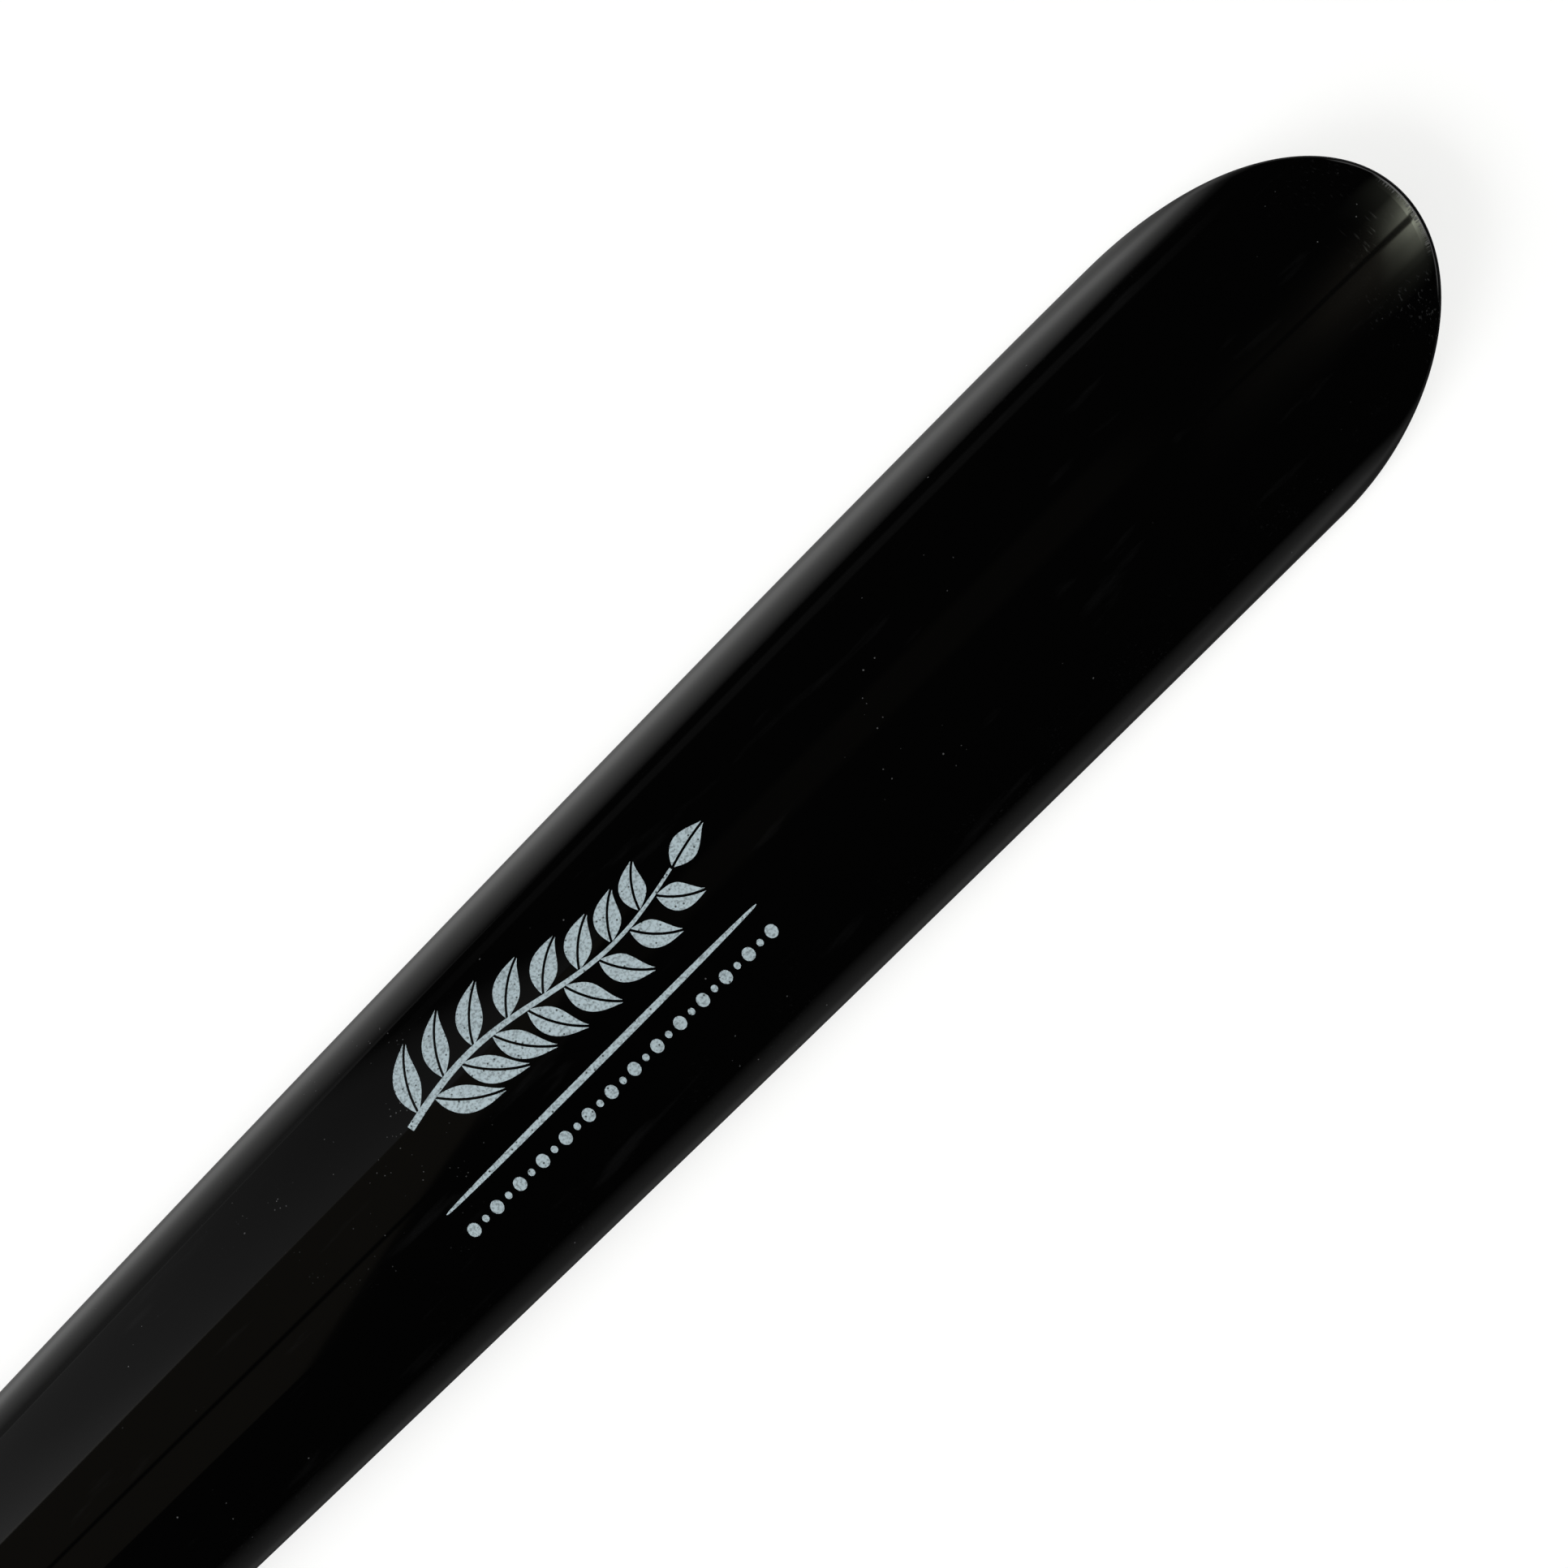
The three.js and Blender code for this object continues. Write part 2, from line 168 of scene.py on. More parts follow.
def link(name, mesh):
    made = bpy.data.objects.new(name, mesh)
    bpy.context.scene.collection.objects.link(made)
    return made


def make_object(name, points, faces):
    """A mesh from points given as (-station, across, up)."""
    mesh = bpy.data.meshes.new(name)
    places = [Vector((TIP_X + point[0], point[1], point[2])) * MM for point in points]
    mesh.from_pydata(places, [], faces)
    weld(mesh)
    return link(name, mesh)


def weld(mesh):
    """Joins corners that coincide, drops faces without area and turns every face outwards."""
    same_point = 2e-7
    work = bmesh.new()
    work.from_mesh(mesh)
    bmesh.ops.remove_doubles(work, verts=work.verts, dist=same_point)
    bmesh.ops.dissolve_degenerate(work, edges=work.edges, dist=same_point)
    bmesh.ops.recalc_face_normals(work, faces=work.faces)
    work.to_mesh(mesh)
    work.free()


def combine(target, other, operation):
    """Joins another closed mesh to the target, or cuts it out, and removes it."""
    modifier = target.modifiers.new("combine", "BOOLEAN")
    modifier.operation = operation
    modifier.solver = "EXACT"
    modifier.object = other
    evaluated = target.evaluated_get(bpy.context.evaluated_depsgraph_get())
    mesh = bpy.data.meshes.new_from_object(evaluated)
    target.modifiers.clear()
    target.data = mesh
    bpy.data.objects.remove(other)


def joined(name, pieces):
    """One object that holds the meshes of several that stand clear of each other."""
    work = bmesh.new()
    for piece in pieces:
        work.from_mesh(piece.data)
        bpy.data.objects.remove(piece)
    mesh = bpy.data.meshes.new(name)
    work.to_mesh(mesh)
    work.free()
    return link(name, mesh)


def smooth(piece, crease_degrees):
    piece.data.shade_smooth()
    piece.data.set_sharp_from_angle(angle=math.radians(crease_degrees))


def grid_faces(rows, columns, closed):
    """Quads over rows of points; closed also joins each row's last point to its first."""
    faces = []
    for row in range(rows - 1):
        for column in range(columns if closed else columns - 1):
            beside = (column + 1) % columns
            here = row * columns
            above = here + columns
            faces.append((here + column, here + beside, above + beside, above + column))
    return faces


def tube(name, rings):
    """A closed skin over closed rings of points, with a face over each end."""
    columns = len(rings[0])
    faces = grid_faces(len(rings), columns, True)
    last = (len(rings) - 1) * columns
    faces.append(tuple(range(columns)))
    faces.append(tuple(range(last, last + columns)))
    return make_object(name, [point for ring in rings for point in ring], faces)


def lathe(name, station, profile):
    """A closed solid of revolution about an upright axis; the profile holds (radius, height) pairs."""
    rings = []
    for radius, height in profile:
        ring = []
        for step in range(ROUND_STEPS):
            turn = 2 * math.pi * step / ROUND_STEPS
            ring.append((-station + radius * math.cos(turn), radius * math.sin(turn), height))
        rings.append(ring)
    return tube(name, rings)


def oval_ring(station, half, crown, belly):
    """An oval about the parting line, of a different height above and below it."""
    ring = []
    for step in range(OVAL_STEPS):
        turn = 2 * math.pi * step / OVAL_STEPS
        height = crown if math.sin(turn) > 0 else belly
        ring.append((-station, half * math.cos(turn), PARTING_HEIGHT + height * math.sin(turn)))
    return ring


def spaced(start, end, largest):
    """Even places from the start up to the end, which is left out."""
    count = max(1, math.ceil((end - start) / largest))
    return [start + (end - start) * step / count for step in range(count)]


# Blade surface

def blade_half_width(station):
    share = max(0, station - TIP_LENGTH) / TAPER_LENGTH
    return BLADE_HALF - (BLADE_HALF - NECK_HALF) * share ** TAPER_POWER


def blade_wall(station):
    share = min(1, max(0, station) / THINNING_LENGTH)
    return TIP_WALL + (BLADE_WALL - TIP_WALL) * share


def trough_depth(station):
    share = max(0, station - TIP_LENGTH) / TAPER_LENGTH
    return TROUGH_DEPTH + (NECK_DEPTH - TROUGH_DEPTH) * share


def arch_radius(station):
    half = blade_half_width(station)
    depth = trough_depth(station)
    return (half * half + depth * depth) / (2 * depth)


def crown_height(station):
    bow = (BLADE_LENGTH - station) / TAPER_LENGTH
    curl = max(0, 1 - station / CURL_LENGTH)
    return BLADE_RISE * (1 - bow * bow) + trough_depth(station) - TIP_CURL * curl * curl


def middle_radius(station):
    return arch_radius(station) - blade_wall(station) / 2


def arch_centre(station):
    return crown_height(station) - arch_radius(station)


def slope(measure, station):
    step = 0.01
    return (measure(station + step) - measure(station - step)) / (2 * step)


def blade_frame(station, across):
    """The point half way through the wall at this place, and the way out through its upper face."""
    middle = middle_radius(station)
    angle = math.asin(across / middle)
    point = Vector((-station, across, arch_centre(station) + middle * math.cos(angle)))
    lean = slope(middle_radius, station) + slope(arch_centre, station) * math.cos(angle)
    return point, Vector((lean, math.sin(angle), math.cos(angle))).normalized()


def blade_path():
    """Functions from a share (0 on the centre line, 1 at the rim) to a place (station, across).
    They run from the neck along the -Y side, round the tip and back along the +Y side."""

    def along_side(station, side):
        reach = blade_half_width(station) - blade_wall(station) / 2
        return lambda share: (station, side * share * reach)

    def round_tip(turn):
        inset = blade_wall(TIP_LENGTH * (1 - math.cos(turn))) / 2
        reach = (TIP_LENGTH - 2 * EASE - inset) * math.cos(turn)
        half = (BLADE_HALF - inset) * math.sin(turn)
        return lambda share: (TIP_LENGTH - share * reach, share * half)

    span = ROOT_STATION - TIP_LENGTH
    stations = [TIP_LENGTH + span * step / BODY_STEPS for step in range(BODY_STEPS + 1)]
    turns = [math.pi * (step / TIP_TURN_STEPS - 0.5) for step in range(1, TIP_TURN_STEPS)]
    path = [along_side(station, -1) for station in reversed(stations)]
    path += [round_tip(turn) for turn in turns]
    path += [along_side(station, 1) for station in stations]
    return path


def trough_rows():
    """Rows of points from the centre line over the upper face, round the rim and back underneath."""
    path = blade_path()
    rims = [blade_frame(*at(1)) for at in path]
    rows = []
    for index, at in enumerate(path):
        upper = []
        lower = []
        for step in range(ACROSS_STEPS + 1):
            spot = at(step / ACROSS_STEPS)
            point, out = blade_frame(*spot)
            half_wall = out * (blade_wall(spot[0]) / 2)
            upper.append(point + half_wall)
            lower.append(point - half_wall)
        before = rims[max(0, index - 1)][0]
        after = rims[min(len(path) - 1, index + 1)][0]
        point, out = rims[index]
        outwards = (after - before).cross(out).normalized()
        radius = blade_wall(at(1)[0]) / 2
        rim = []
        for step in range(1, RIM_STEPS):
            turn = math.pi * step / RIM_STEPS
            rim.append(point + radius * (out * math.cos(turn) + outwards * math.sin(turn)))
        rows.append(upper + rim + lower[::-1])
    return rows


trough = trough_rows()
RIM_HEIGHT = min(point.z for row in trough for point in row)


def build_trough():
    columns = len(trough[0])
    points = [point - Vector((0, 0, RIM_HEIGHT)) for row in trough for point in row]
    faces = grid_faces(len(trough), columns, False)
    for start in (0, (len(trough) - 1) * columns):
        for step in range(ACROSS_STEPS):
            under = columns - 1 - step
            faces.append((start + step, start + step + 1, start + under - 1, start + under))
        faces.append(tuple(range(start + ACROSS_STEPS, start + ACROSS_STEPS + RIM_STEPS + 1)))
    return make_object("blade_gloss", points, faces)


def on_blade(station, across, proud):
    """A point this far above the blade's upper face."""
    point, out = blade_frame(station, across)
    return point + out * (blade_wall(station) / 2 + proud) - Vector((0, 0, RIM_HEIGHT))


# Handle outline

FRONT_CROWN = crown_height(BLADE_LENGTH) - RIM_HEIGHT - PARTING_HEIGHT
BELLY_SWELL = PARTING_HEIGHT + LAND_DEPTH - (HANDLE_FRONT_BELLY + HANDLE_END_BELLY) / 2


def between(front, end, swell, setback):
    """A size that runs from the handle's front to its end, with a swell between them."""
    share = setback / HANDLE_LENGTH
    return front + (end - front) * share + swell * math.sin(math.pi * share)


def handle_size(setback):
    """Half width, crown and belly of the handle; all three shrink over its rounded end."""
    rounding = max(0, setback - END_START) / HANDLE_END_ROUND
    flat_share = HANDLE_END_FLAT / HANDLE_END_WIDTH
    fullness = math.sqrt(max(0, 1 - (1 - flat_share ** 2) * rounding ** 2))
    half = fullness * between(NECK_HALF, HANDLE_END_WIDTH / 2, HANDLE_SIDE_SWELL, setback)
    crown = fullness * between(FRONT_CROWN, HANDLE_END_CROWN, HANDLE_CROWN_SWELL, setback)
    belly = fullness * between(HANDLE_FRONT_BELLY, HANDLE_END_BELLY, BELLY_SWELL, setback)
    return half, crown, belly


def oval_reach(turn, half, height):
    nothing = 1e-6
    if min(half, height) < nothing:
        return 0
    return 1 / math.hypot(math.cos(turn) / half, math.sin(turn) / height)


def tab_reach(turn):
    across = abs(math.cos(turn)) / (TAB_THICKNESS / 2)
    up = abs(math.sin(turn)) / TAB_HALF
    return (across ** TAB_SQUARENESS + up ** TAB_SQUARENESS) ** (-1 / TAB_SQUARENESS)


def soft_max(first, second, radius):
    """The larger of two reaches, with a fillet of about this radius where they are alike."""
    near = max(radius - abs(first - second), 0) / radius
    return max(first, second) + near * near * radius / 4


def groove_at(setback, across):
    """Depth of the thumb grooves below the crown."""
    last_groove = HANDLE_LENGTH - GROOVE_SETBACK
    nearest = round((last_groove - setback) / GROOVE_PITCH)
    nearest = min(max(nearest, 0), GROOVE_COUNT - 1)
    offset = abs(last_groove - GROOVE_PITCH * nearest - setback)
    if offset > GROOVE_LIP:
        return 0
    profile = (1 + math.cos(math.pi * offset / GROOVE_LIP)) / 2
    edge = min(1, max(0, GROOVE_SPAN / 2 - abs(across)) / GROOVE_FADE)
    return GROOVE_DEPTH * profile * edge * edge * (3 - 2 * edge)


def outer_reach(setback, turn, upper):
    """Distance of the handle's skin from the line on which the shells part."""
    half, crown, belly = handle_size(setback)
    reach = oval_reach(turn, half, crown if upper else belly)
    if setback > END_START:
        reach = soft_max(reach, tab_reach(turn), TAB_FILLET)
    if upper:
        reach -= groove_at(setback, reach * math.cos(turn))
    return reach


# Handle shells: a section is built above the parting plane, and the lower shell's is turned over

def land_turn(setback):
    """Half the angle, seen from the parting line, under which the flat land is seen."""
    narrowest = math.radians(4)
    half, _, belly = handle_size(setback)
    if belly <= PARTING_HEIGHT:
        return narrowest
    reach = half * math.sqrt(1 - (PARTING_HEIGHT / belly) ** 2)
    return max(narrowest, math.atan2(reach, PARTING_HEIGHT))


def skin_turns(setback, first, upper):
    """Turns of the skin's points, from the +Y parting edge to the -Y one."""
    crown_turn = math.radians(30)
    side_steps = (SHELL_STEPS - LAND_STEPS) // 2
    corner = math.pi / 2 - (crown_turn if upper else land_turn(setback))
    side = [first + (corner - first) * step / side_steps for step in range(side_steps)]
    top = [corner + (math.pi - 2 * corner) * step / LAND_STEPS for step in range(LAND_STEPS + 1)]
    return side + top + [math.pi - turn for turn in reversed(side)]


def shell_section(setback, base, upper):
    """Section points over the skin, with the two parting edges rounded."""
    settling_rounds = 8
    first = 0
    for _ in range(settling_rounds):
        first = math.asin(min(1, (base + PARTING_ROUND) / outer_reach(setback, first, upper)))
    skin = []
    for turn in skin_turns(setback, first, upper):
        reach = outer_reach(setback, turn, upper)
        height = reach * math.sin(turn)
        skin.append((reach * math.cos(turn), height if upper else min(height, PARTING_HEIGHT)))
    edge = skin[0][0]
    corner = []
    for step in range(CORNER_STEPS):
        turn = math.pi / 2 * step / CORNER_STEPS
        across = edge - PARTING_ROUND * (1 - math.sin(turn))
        corner.append((across, base + PARTING_ROUND * (1 - math.cos(turn))))
    return corner + skin + [(-across, up) for across, up in reversed(corner)]


def eye_base(setback):
    """Height of the shell's parting face, which rises over the ring's wire at the eye."""
    offset = EYE_SETBACK - setback
    lift = math.sqrt(max(0, EYE_RADIUS ** 2 - offset ** 2))
    return max(PARTING_GAP, lift)


def shell_setbacks(upper):
    first_groove = HANDLE_LENGTH - GROOVE_SETBACK - GROOVE_PITCH * (GROOVE_COUNT - 1) - GROOVE_LIP
    last_groove = HANDLE_LENGTH - GROOVE_SETBACK + GROOVE_LIP
    notch = math.sqrt(EYE_RADIUS ** 2 - PARTING_GAP ** 2)
    setbacks = spaced(0, first_groove, HANDLE_ROW)
    setbacks += spaced(first_groove, last_groove, GROOVE_ROW if upper else HANDLE_ROW)
    setbacks += spaced(last_groove, END_START, HANDLE_ROW)
    setbacks += spaced(END_START, EYE_SETBACK - notch, END_ROW)
    for step in range(EYE_STEPS + 1):
        setbacks.append(EYE_SETBACK - notch * math.cos(math.pi / 2 * step / EYE_STEPS))
    return setbacks


def build_hollow():
    rings = []
    for setback in spaced(HANDLE_WALL, END_START, HANDLE_ROW) + [END_START]:
        half, crown, belly = handle_size(setback)
        station = HANDLE_STATION + setback
        rings.append(oval_ring(station, half - HANDLE_WALL, crown - HANDLE_WALL, belly - HANDLE_WALL))
    return tube("hollow", rings)


def build_tongue_slot():
    half = TONGUE_WIDTH / 2 + FIT_GAP
    low = TONGUE_BOTTOM - FIT_GAP
    high = TONGUE_TOP + FIT_GAP
    rings = []
    for setback in (-HANDLE_WALL, 2 * HANDLE_WALL):
        along = -HANDLE_STATION - setback
        rings.append([(along, -half, low), (along, half, low), (along, half, high), (along, -half, high)])
    return tube("tongue_slot", rings)


def build_shell(name, upper):
    flip = 1 if upper else -1
    rings = []
    for setback in shell_setbacks(upper):
        section = shell_section(setback, eye_base(setback), upper)
        along = -HANDLE_STATION - setback
        rings.append([(along, across, PARTING_HEIGHT + flip * up) for across, up in section])
    for step in range(1, EYE_STEPS + 1):
        ring = []
        for across, up in section:
            last_turn = math.asin(PARTING_GAP / up)
            turn = math.pi / 2 + (last_turn - math.pi / 2) * step / EYE_STEPS
            along = -EYE_STATION - up * math.cos(turn)
            ring.append((along, across, PARTING_HEIGHT + flip * up * math.sin(turn)))
        rings.append(ring)
    shell = tube(name, rings)
    combine(shell, build_hollow(), "DIFFERENCE")
    combine(shell, build_tongue_slot(), "DIFFERENCE")
    return shell


# Screw places

class ScrewPlace:
    """Station of a screw, and the heights of its head, its bosses and its pilot hole."""

    def __init__(self, setback, in_tongue):
        _, crown, belly = handle_size(setback)
        self.station = HANDLE_STATION + setback
        self.surface = max(0, PARTING_HEIGHT - belly)
        self.head_bottom = self.surface + HEAD_RECESS
        self.head_top = self.head_bottom + HEAD_HEIGHT
        self.lower_top = TONGUE_BOTTOM - FIT_GAP if in_tongue else PARTING_HEIGHT - PARTING_GAP
        self.shoulder = TONGUE_TOP + FIT_GAP if in_tongue else PARTING_HEIGHT + PARTING_GAP
        self.roof = PARTING_HEIGHT + crown
        self.pilot_top = self.roof - PILOT_ROOF


TONGUE_SCREWS = [
    ScrewPlace(FRONT_SETBACK, True),
    ScrewPlace(FRONT_SETBACK + TONGUE_SCREW_PITCH, True),
]
SCREWS = TONGUE_SCREWS + [ScrewPlace(HANDLE_LENGTH - REAR_SETBACK, False)]
SHANK_LENGTH = min(screw.pilot_top - screw.head_top for screw in SCREWS) - FIT_GAP


# Blade with its bolster and tongue

def build_bolster():
    half, crown, belly = handle_size(0)
    lip_steps = 8
    lip = BOLSTER_LIP - 2 * EASE
    profile = []
    for step in range(lip_steps + 1):
        turn = math.pi / 2 * step / lip_steps
        profile.append((lip * (1 - math.cos(turn)), lip * math.sin(turn)))
    profile += [(BOLSTER_THICKNESS - depth, grow) for depth, grow in reversed(profile)]
    rings = []
    for depth, grow in profile:
        rings.append(oval_ring(BLADE_LENGTH + depth, half + grow, crown + grow, belly + grow))
    return tube("bolster", rings)


def build_tongue():
    half = TONGUE_WIDTH / 2
    end = TONGUE_SCREWS[-1].station + TONGUE_MARGIN - half
    outline = [(-ROOT_STATION, -half), (-ROOT_STATION, half)]
    for step in range(ROUND_STEPS // 2 + 1):
        turn = math.pi / 2 + 2 * math.pi * step / ROUND_STEPS
        outline.append((-end + half * math.cos(turn), half * math.sin(turn)))
    rings = [[(along, across, up) for along, across in outline] for up in (TONGUE_BOTTOM, TONGUE_TOP)]
    tongue = tube("tongue", rings)
    radius = SPIGOT_RADIUS + FIT_GAP
    below = TONGUE_BOTTOM - FIT_GAP
    above = TONGUE_TOP + FIT_GAP
    holes = [lathe("hole", screw.station, [(radius, below), (radius, above)]) for screw in TONGUE_SCREWS]
    combine(tongue, joined("holes", holes), "DIFFERENCE")
    return tongue


def build_blade():
    blade = build_trough()
    combine(blade, build_bolster(), "UNION")
    combine(blade, build_tongue(), "UNION")
    smooth(blade, crease_degrees=40)
    return blade


# Handle shells with their bosses

def build_upper_shell():
    shell = build_shell("handle_upper_satin", True)
    sunk = 1.7
    bosses = []
    spigots = []
    pilots = []
    for screw in SCREWS:
        roof = screw.roof - sunk
        bosses.append(lathe("boss", screw.station, [(BOSS_RADIUS, screw.shoulder), (BOSS_RADIUS, roof)]))
        pilots.append(lathe("pilot", screw.station, [(SHANK_HOLE, 0), (SHANK_HOLE, screw.pilot_top)]))
    for screw in TONGUE_SCREWS:
        bottom = screw.lower_top + FIT_GAP
        inside_boss = (screw.shoulder + screw.roof) / 2
        profile = [(SPIGOT_RADIUS, bottom), (SPIGOT_RADIUS, inside_boss)]
        spigots.append(lathe("spigot", screw.station, profile))
    combine(shell, joined("bosses", bosses), "UNION")
    combine(shell, joined("spigots", spigots), "UNION")
    combine(shell, joined("pilots", pilots), "DIFFERENCE")
    smooth(shell, crease_degrees=32)
    return shell


def crease_land(shell):
    """Keeps a crisp edge round the flat land."""
    nearly_flat = 1e-6
    work = bmesh.new()
    work.from_mesh(shell.data)
    for edge in work.edges:
        sides = {max(corner.co.z for corner in face.verts) < nearly_flat for face in edge.link_faces}
        if len(sides) > 1:
            edge.smooth = False
    work.to_mesh(shell.data)
    work.free()


def build_lower_shell():
    shell = build_shell("handle_lower_satin", False)
    sunk = 0.9
    bosses = []
    bores = []
    for screw in SCREWS:
        floor = screw.surface + sunk
        bosses.append(lathe("boss", screw.station, [(BOSS_RADIUS, floor), (BOSS_RADIUS, screw.lower_top)]))
        ceiling = screw.head_top + FIT_GAP
        bores.append(lathe("bore", screw.station, [
            (HEAD_HOLE + 2 * COUNTERSINK, screw.surface - COUNTERSINK),
            (HEAD_HOLE, screw.surface + COUNTERSINK),
            (HEAD_HOLE, ceiling),
            (SHANK_HOLE, ceiling),
            (SHANK_HOLE, PARTING_HEIGHT),
        ]))
    combine(shell, joined("bosses", bosses), "UNION")
    combine(shell, joined("bores", bores), "DIFFERENCE")
    smooth(shell, crease_degrees=32)
    crease_land(shell)
    return shell


# Screws, heads down

def build_screw(number, screw):
    round_steps = 8
    point_radius = 0.05
    profile = [(point_radius, 0)]
    for step in range(round_steps + 1):
        turn = math.pi / 2 * step / round_steps
        radius = HEAD_RADIUS - HEAD_ROUND * (1 - math.sin(turn))
        profile.append((radius, HEAD_ROUND * (1 - math.cos(turn))))
    end = HEAD_HEIGHT + SHANK_LENGTH
    profile += [
        (HEAD_RADIUS, HEAD_HEIGHT),
        (SHANK_RADIUS, HEAD_HEIGHT),
        (SHANK_RADIUS, end - SHANK_POINT),
        (point_radius, end),
    ]
    lifted = [(radius, screw.head_bottom + height) for radius, height in profile]
    made = lathe(f"screw_zinc_{number}", screw.station, lifted)
    long = SLOT_LENGTH / 2
    wide = SLOT_WIDTH / 2
    cross = [
        (long, wide), (wide, wide), (wide, long), (-wide, long), (-wide, wide), (-long, wide),
        (-long, -wide), (-wide, -wide), (-wide, -long), (wide, -long), (wide, -wide), (long, -wide),
    ]
    rings = []
    for size, depth in ((1, -SLOT_DEPTH), (1, 0), (SLOT_TAPER, SLOT_DEPTH)):
        height = screw.head_bottom + depth
        rings.append([(along * size - screw.station, across * size, height) for along, across in cross])
    combine(made, tube("recess", rings), "DIFFERENCE")
    smooth(made, crease_degrees=32)
    return made


# Ring of wire, closed by a butt joint on the side away from the eye

def build_ring():
    hinge = Vector((-EYE_STATION, 0, PARTING_HEIGHT))
    lean = Matrix.Rotation(-RING_DROOP, 3, "Y")
    points = []
    for step in range(RING_STEPS):
        turn = 2 * math.pi * step / RING_STEPS
        from_seam = RING_RADIUS * abs(turn - math.pi)
        wire = WIRE_RADIUS - EASE - SEAM_DEPTH * math.exp(-(from_seam / SEAM_WIDTH) ** 2)
        for wire_step in range(WIRE_STEPS):
            around = 2 * math.pi * wire_step / WIRE_STEPS
            reach = RING_RADIUS + wire * math.cos(around)
            along = reach * math.cos(turn) - RING_RADIUS
            points.append(hinge + lean @ Vector((along, reach * math.sin(turn), wire * math.sin(around))))
    faces = grid_faces(RING_STEPS, WIRE_STEPS, True)
    last = (RING_STEPS - 1) * WIRE_STEPS
    for wire_step in range(WIRE_STEPS):
        beside = (wire_step + 1) % WIRE_STEPS
        faces.append((last + wire_step, last + beside, beside, wire_step))
    ring = make_object("ring_nickel", points, faces)
    smooth(ring, crease_degrees=60)
    return ring


# Printed sprig of leaves over a rule and a row of beads

# It is drawn in (along, across) places from its middle, along towards the tip.
# Each stroke lies on the blade as a thin film of ink.
PRINT_STATION = 144
PRINT_HALF = 26.5
INK_PROUD = 0.04
INK_SUNK = 0.06
STROKE_COLUMNS = 4
LINE_STEPS = 120
LEAF_STEPS = 22
BEAD_STEPS = 14
STEM_ACROSS = 3.6
STEM_SHARE = 0.84
STEM_WAVE = 1.5
STEM_HALF = 0.45
STEM_THINNING = 0.6
LEAF_PAIRS = 8
LEAF_LENGTH = 8.6
LEAF_SHRINK = 0.35
LEAF_HALF = 1.5
LEAF_POINT = 0.03
LEAF_BELLY = 0.8
LEAF_FULLNESS = 1.2
LEAF_RIB = 0.16
LEAF_GAP = 0.5
LEAF_SPREAD = math.radians(47)
LEAF_BEND = math.radians(-34)
LEFT_LEAF = 0.35
RIGHT_LEAF = 0.85
LAST_STRETCH = 0.6
END_LEAF_GAP = 0.4
END_LEAF_SIZE = 0.75
END_LEAF_BEND = 0.3
RULE_ACROSS = -6.3
RULE_HALF = 0.36
RULE_POINT = 0.04
RULE_FULLNESS = 0.4
BEAD_ACROSS = -9.6
BEAD_RADIUS = 0.8
BEAD_SMALL = 0.42
BEAD_PITCH = 1.96
BEAD_COUNT = 27
BEAD_CUT = 0.995


def stroke(line, low, high, steps):
    """A film between two offsets from a line, which gives its place and heading for a share of the way."""
    rings = []
    for step in range(steps + 1):
        share = step / steps
        (along, across), heading = line(share)
        top = []
        under = []
        for column in range(STROKE_COLUMNS + 1):
            offset = low(share) + (high(share) - low(share)) * column / STROKE_COLUMNS
            station = PRINT_STATION - along + offset * math.sin(heading)
            side = across + offset * math.cos(heading)
            top.append(on_blade(station, side, INK_PROUD))
            under.append(on_blade(station, side, -INK_SUNK))
        rings.append(top + under[::-1])
    return tube("stroke", rings)


def arc(start, heading, length, bend):
    """A line that turns evenly by the bend along its length."""
    first = heading - bend / 2

    def line(share):
        now = first + bend * share
        along = start[0] + length * (math.sin(now) - math.sin(first)) / bend
        across = start[1] - length * (math.cos(now) - math.cos(first)) / bend
        return (along, across), now

    return line


def stem_line(share):
    wave = 2 * math.pi * share
    half = PRINT_HALF * STEM_SHARE
    heading = math.atan2(STEM_WAVE * 2 * math.pi * math.cos(wave), 2 * half)
    return (half * (2 * share - 1), STEM_ACROSS + STEM_WAVE * math.sin(wave)), heading


def rule_line(share):
    return (PRINT_HALF * (2 * share - 1), RULE_ACROSS), 0


def stem_half(share):
    return STEM_HALF * (1 - STEM_THINNING * share)


def leaf_half(share):
    swell = math.sin(math.pi * share ** LEAF_BELLY) ** LEAF_FULLNESS
    return LEAF_RIB + LEAF_POINT + LEAF_HALF * swell


def rule_half(share):
    return RULE_POINT + RULE_HALF * math.sin(math.pi * share) ** RULE_FULLNESS


def even_stroke(line, half, steps):
    """A film that reaches equally far to both sides of its line."""
    return stroke(line, lambda share: -half(share), half, steps)


def leaf(start, heading, length, bend):
    """Two halves of a pointed leaf with a bare rib between them."""
    line = arc(start, heading, length, bend)
    left = stroke(line, lambda share: LEAF_RIB, leaf_half, LEAF_STEPS)
    right = stroke(line, lambda share: -leaf_half(share), lambda share: -LEAF_RIB, LEAF_STEPS)
    return [left, right]


def bead(along, across, radius):
    """A round dot, cut a little short of its two ends."""

    def offset(share):
        return BEAD_CUT * (2 * share - 1)

    def line(share):
        return (along + radius * offset(share), across), 0

    def half(share):
        return radius * math.sqrt(1 - offset(share) ** 2)

    return even_stroke(line, half, BEAD_STEPS)


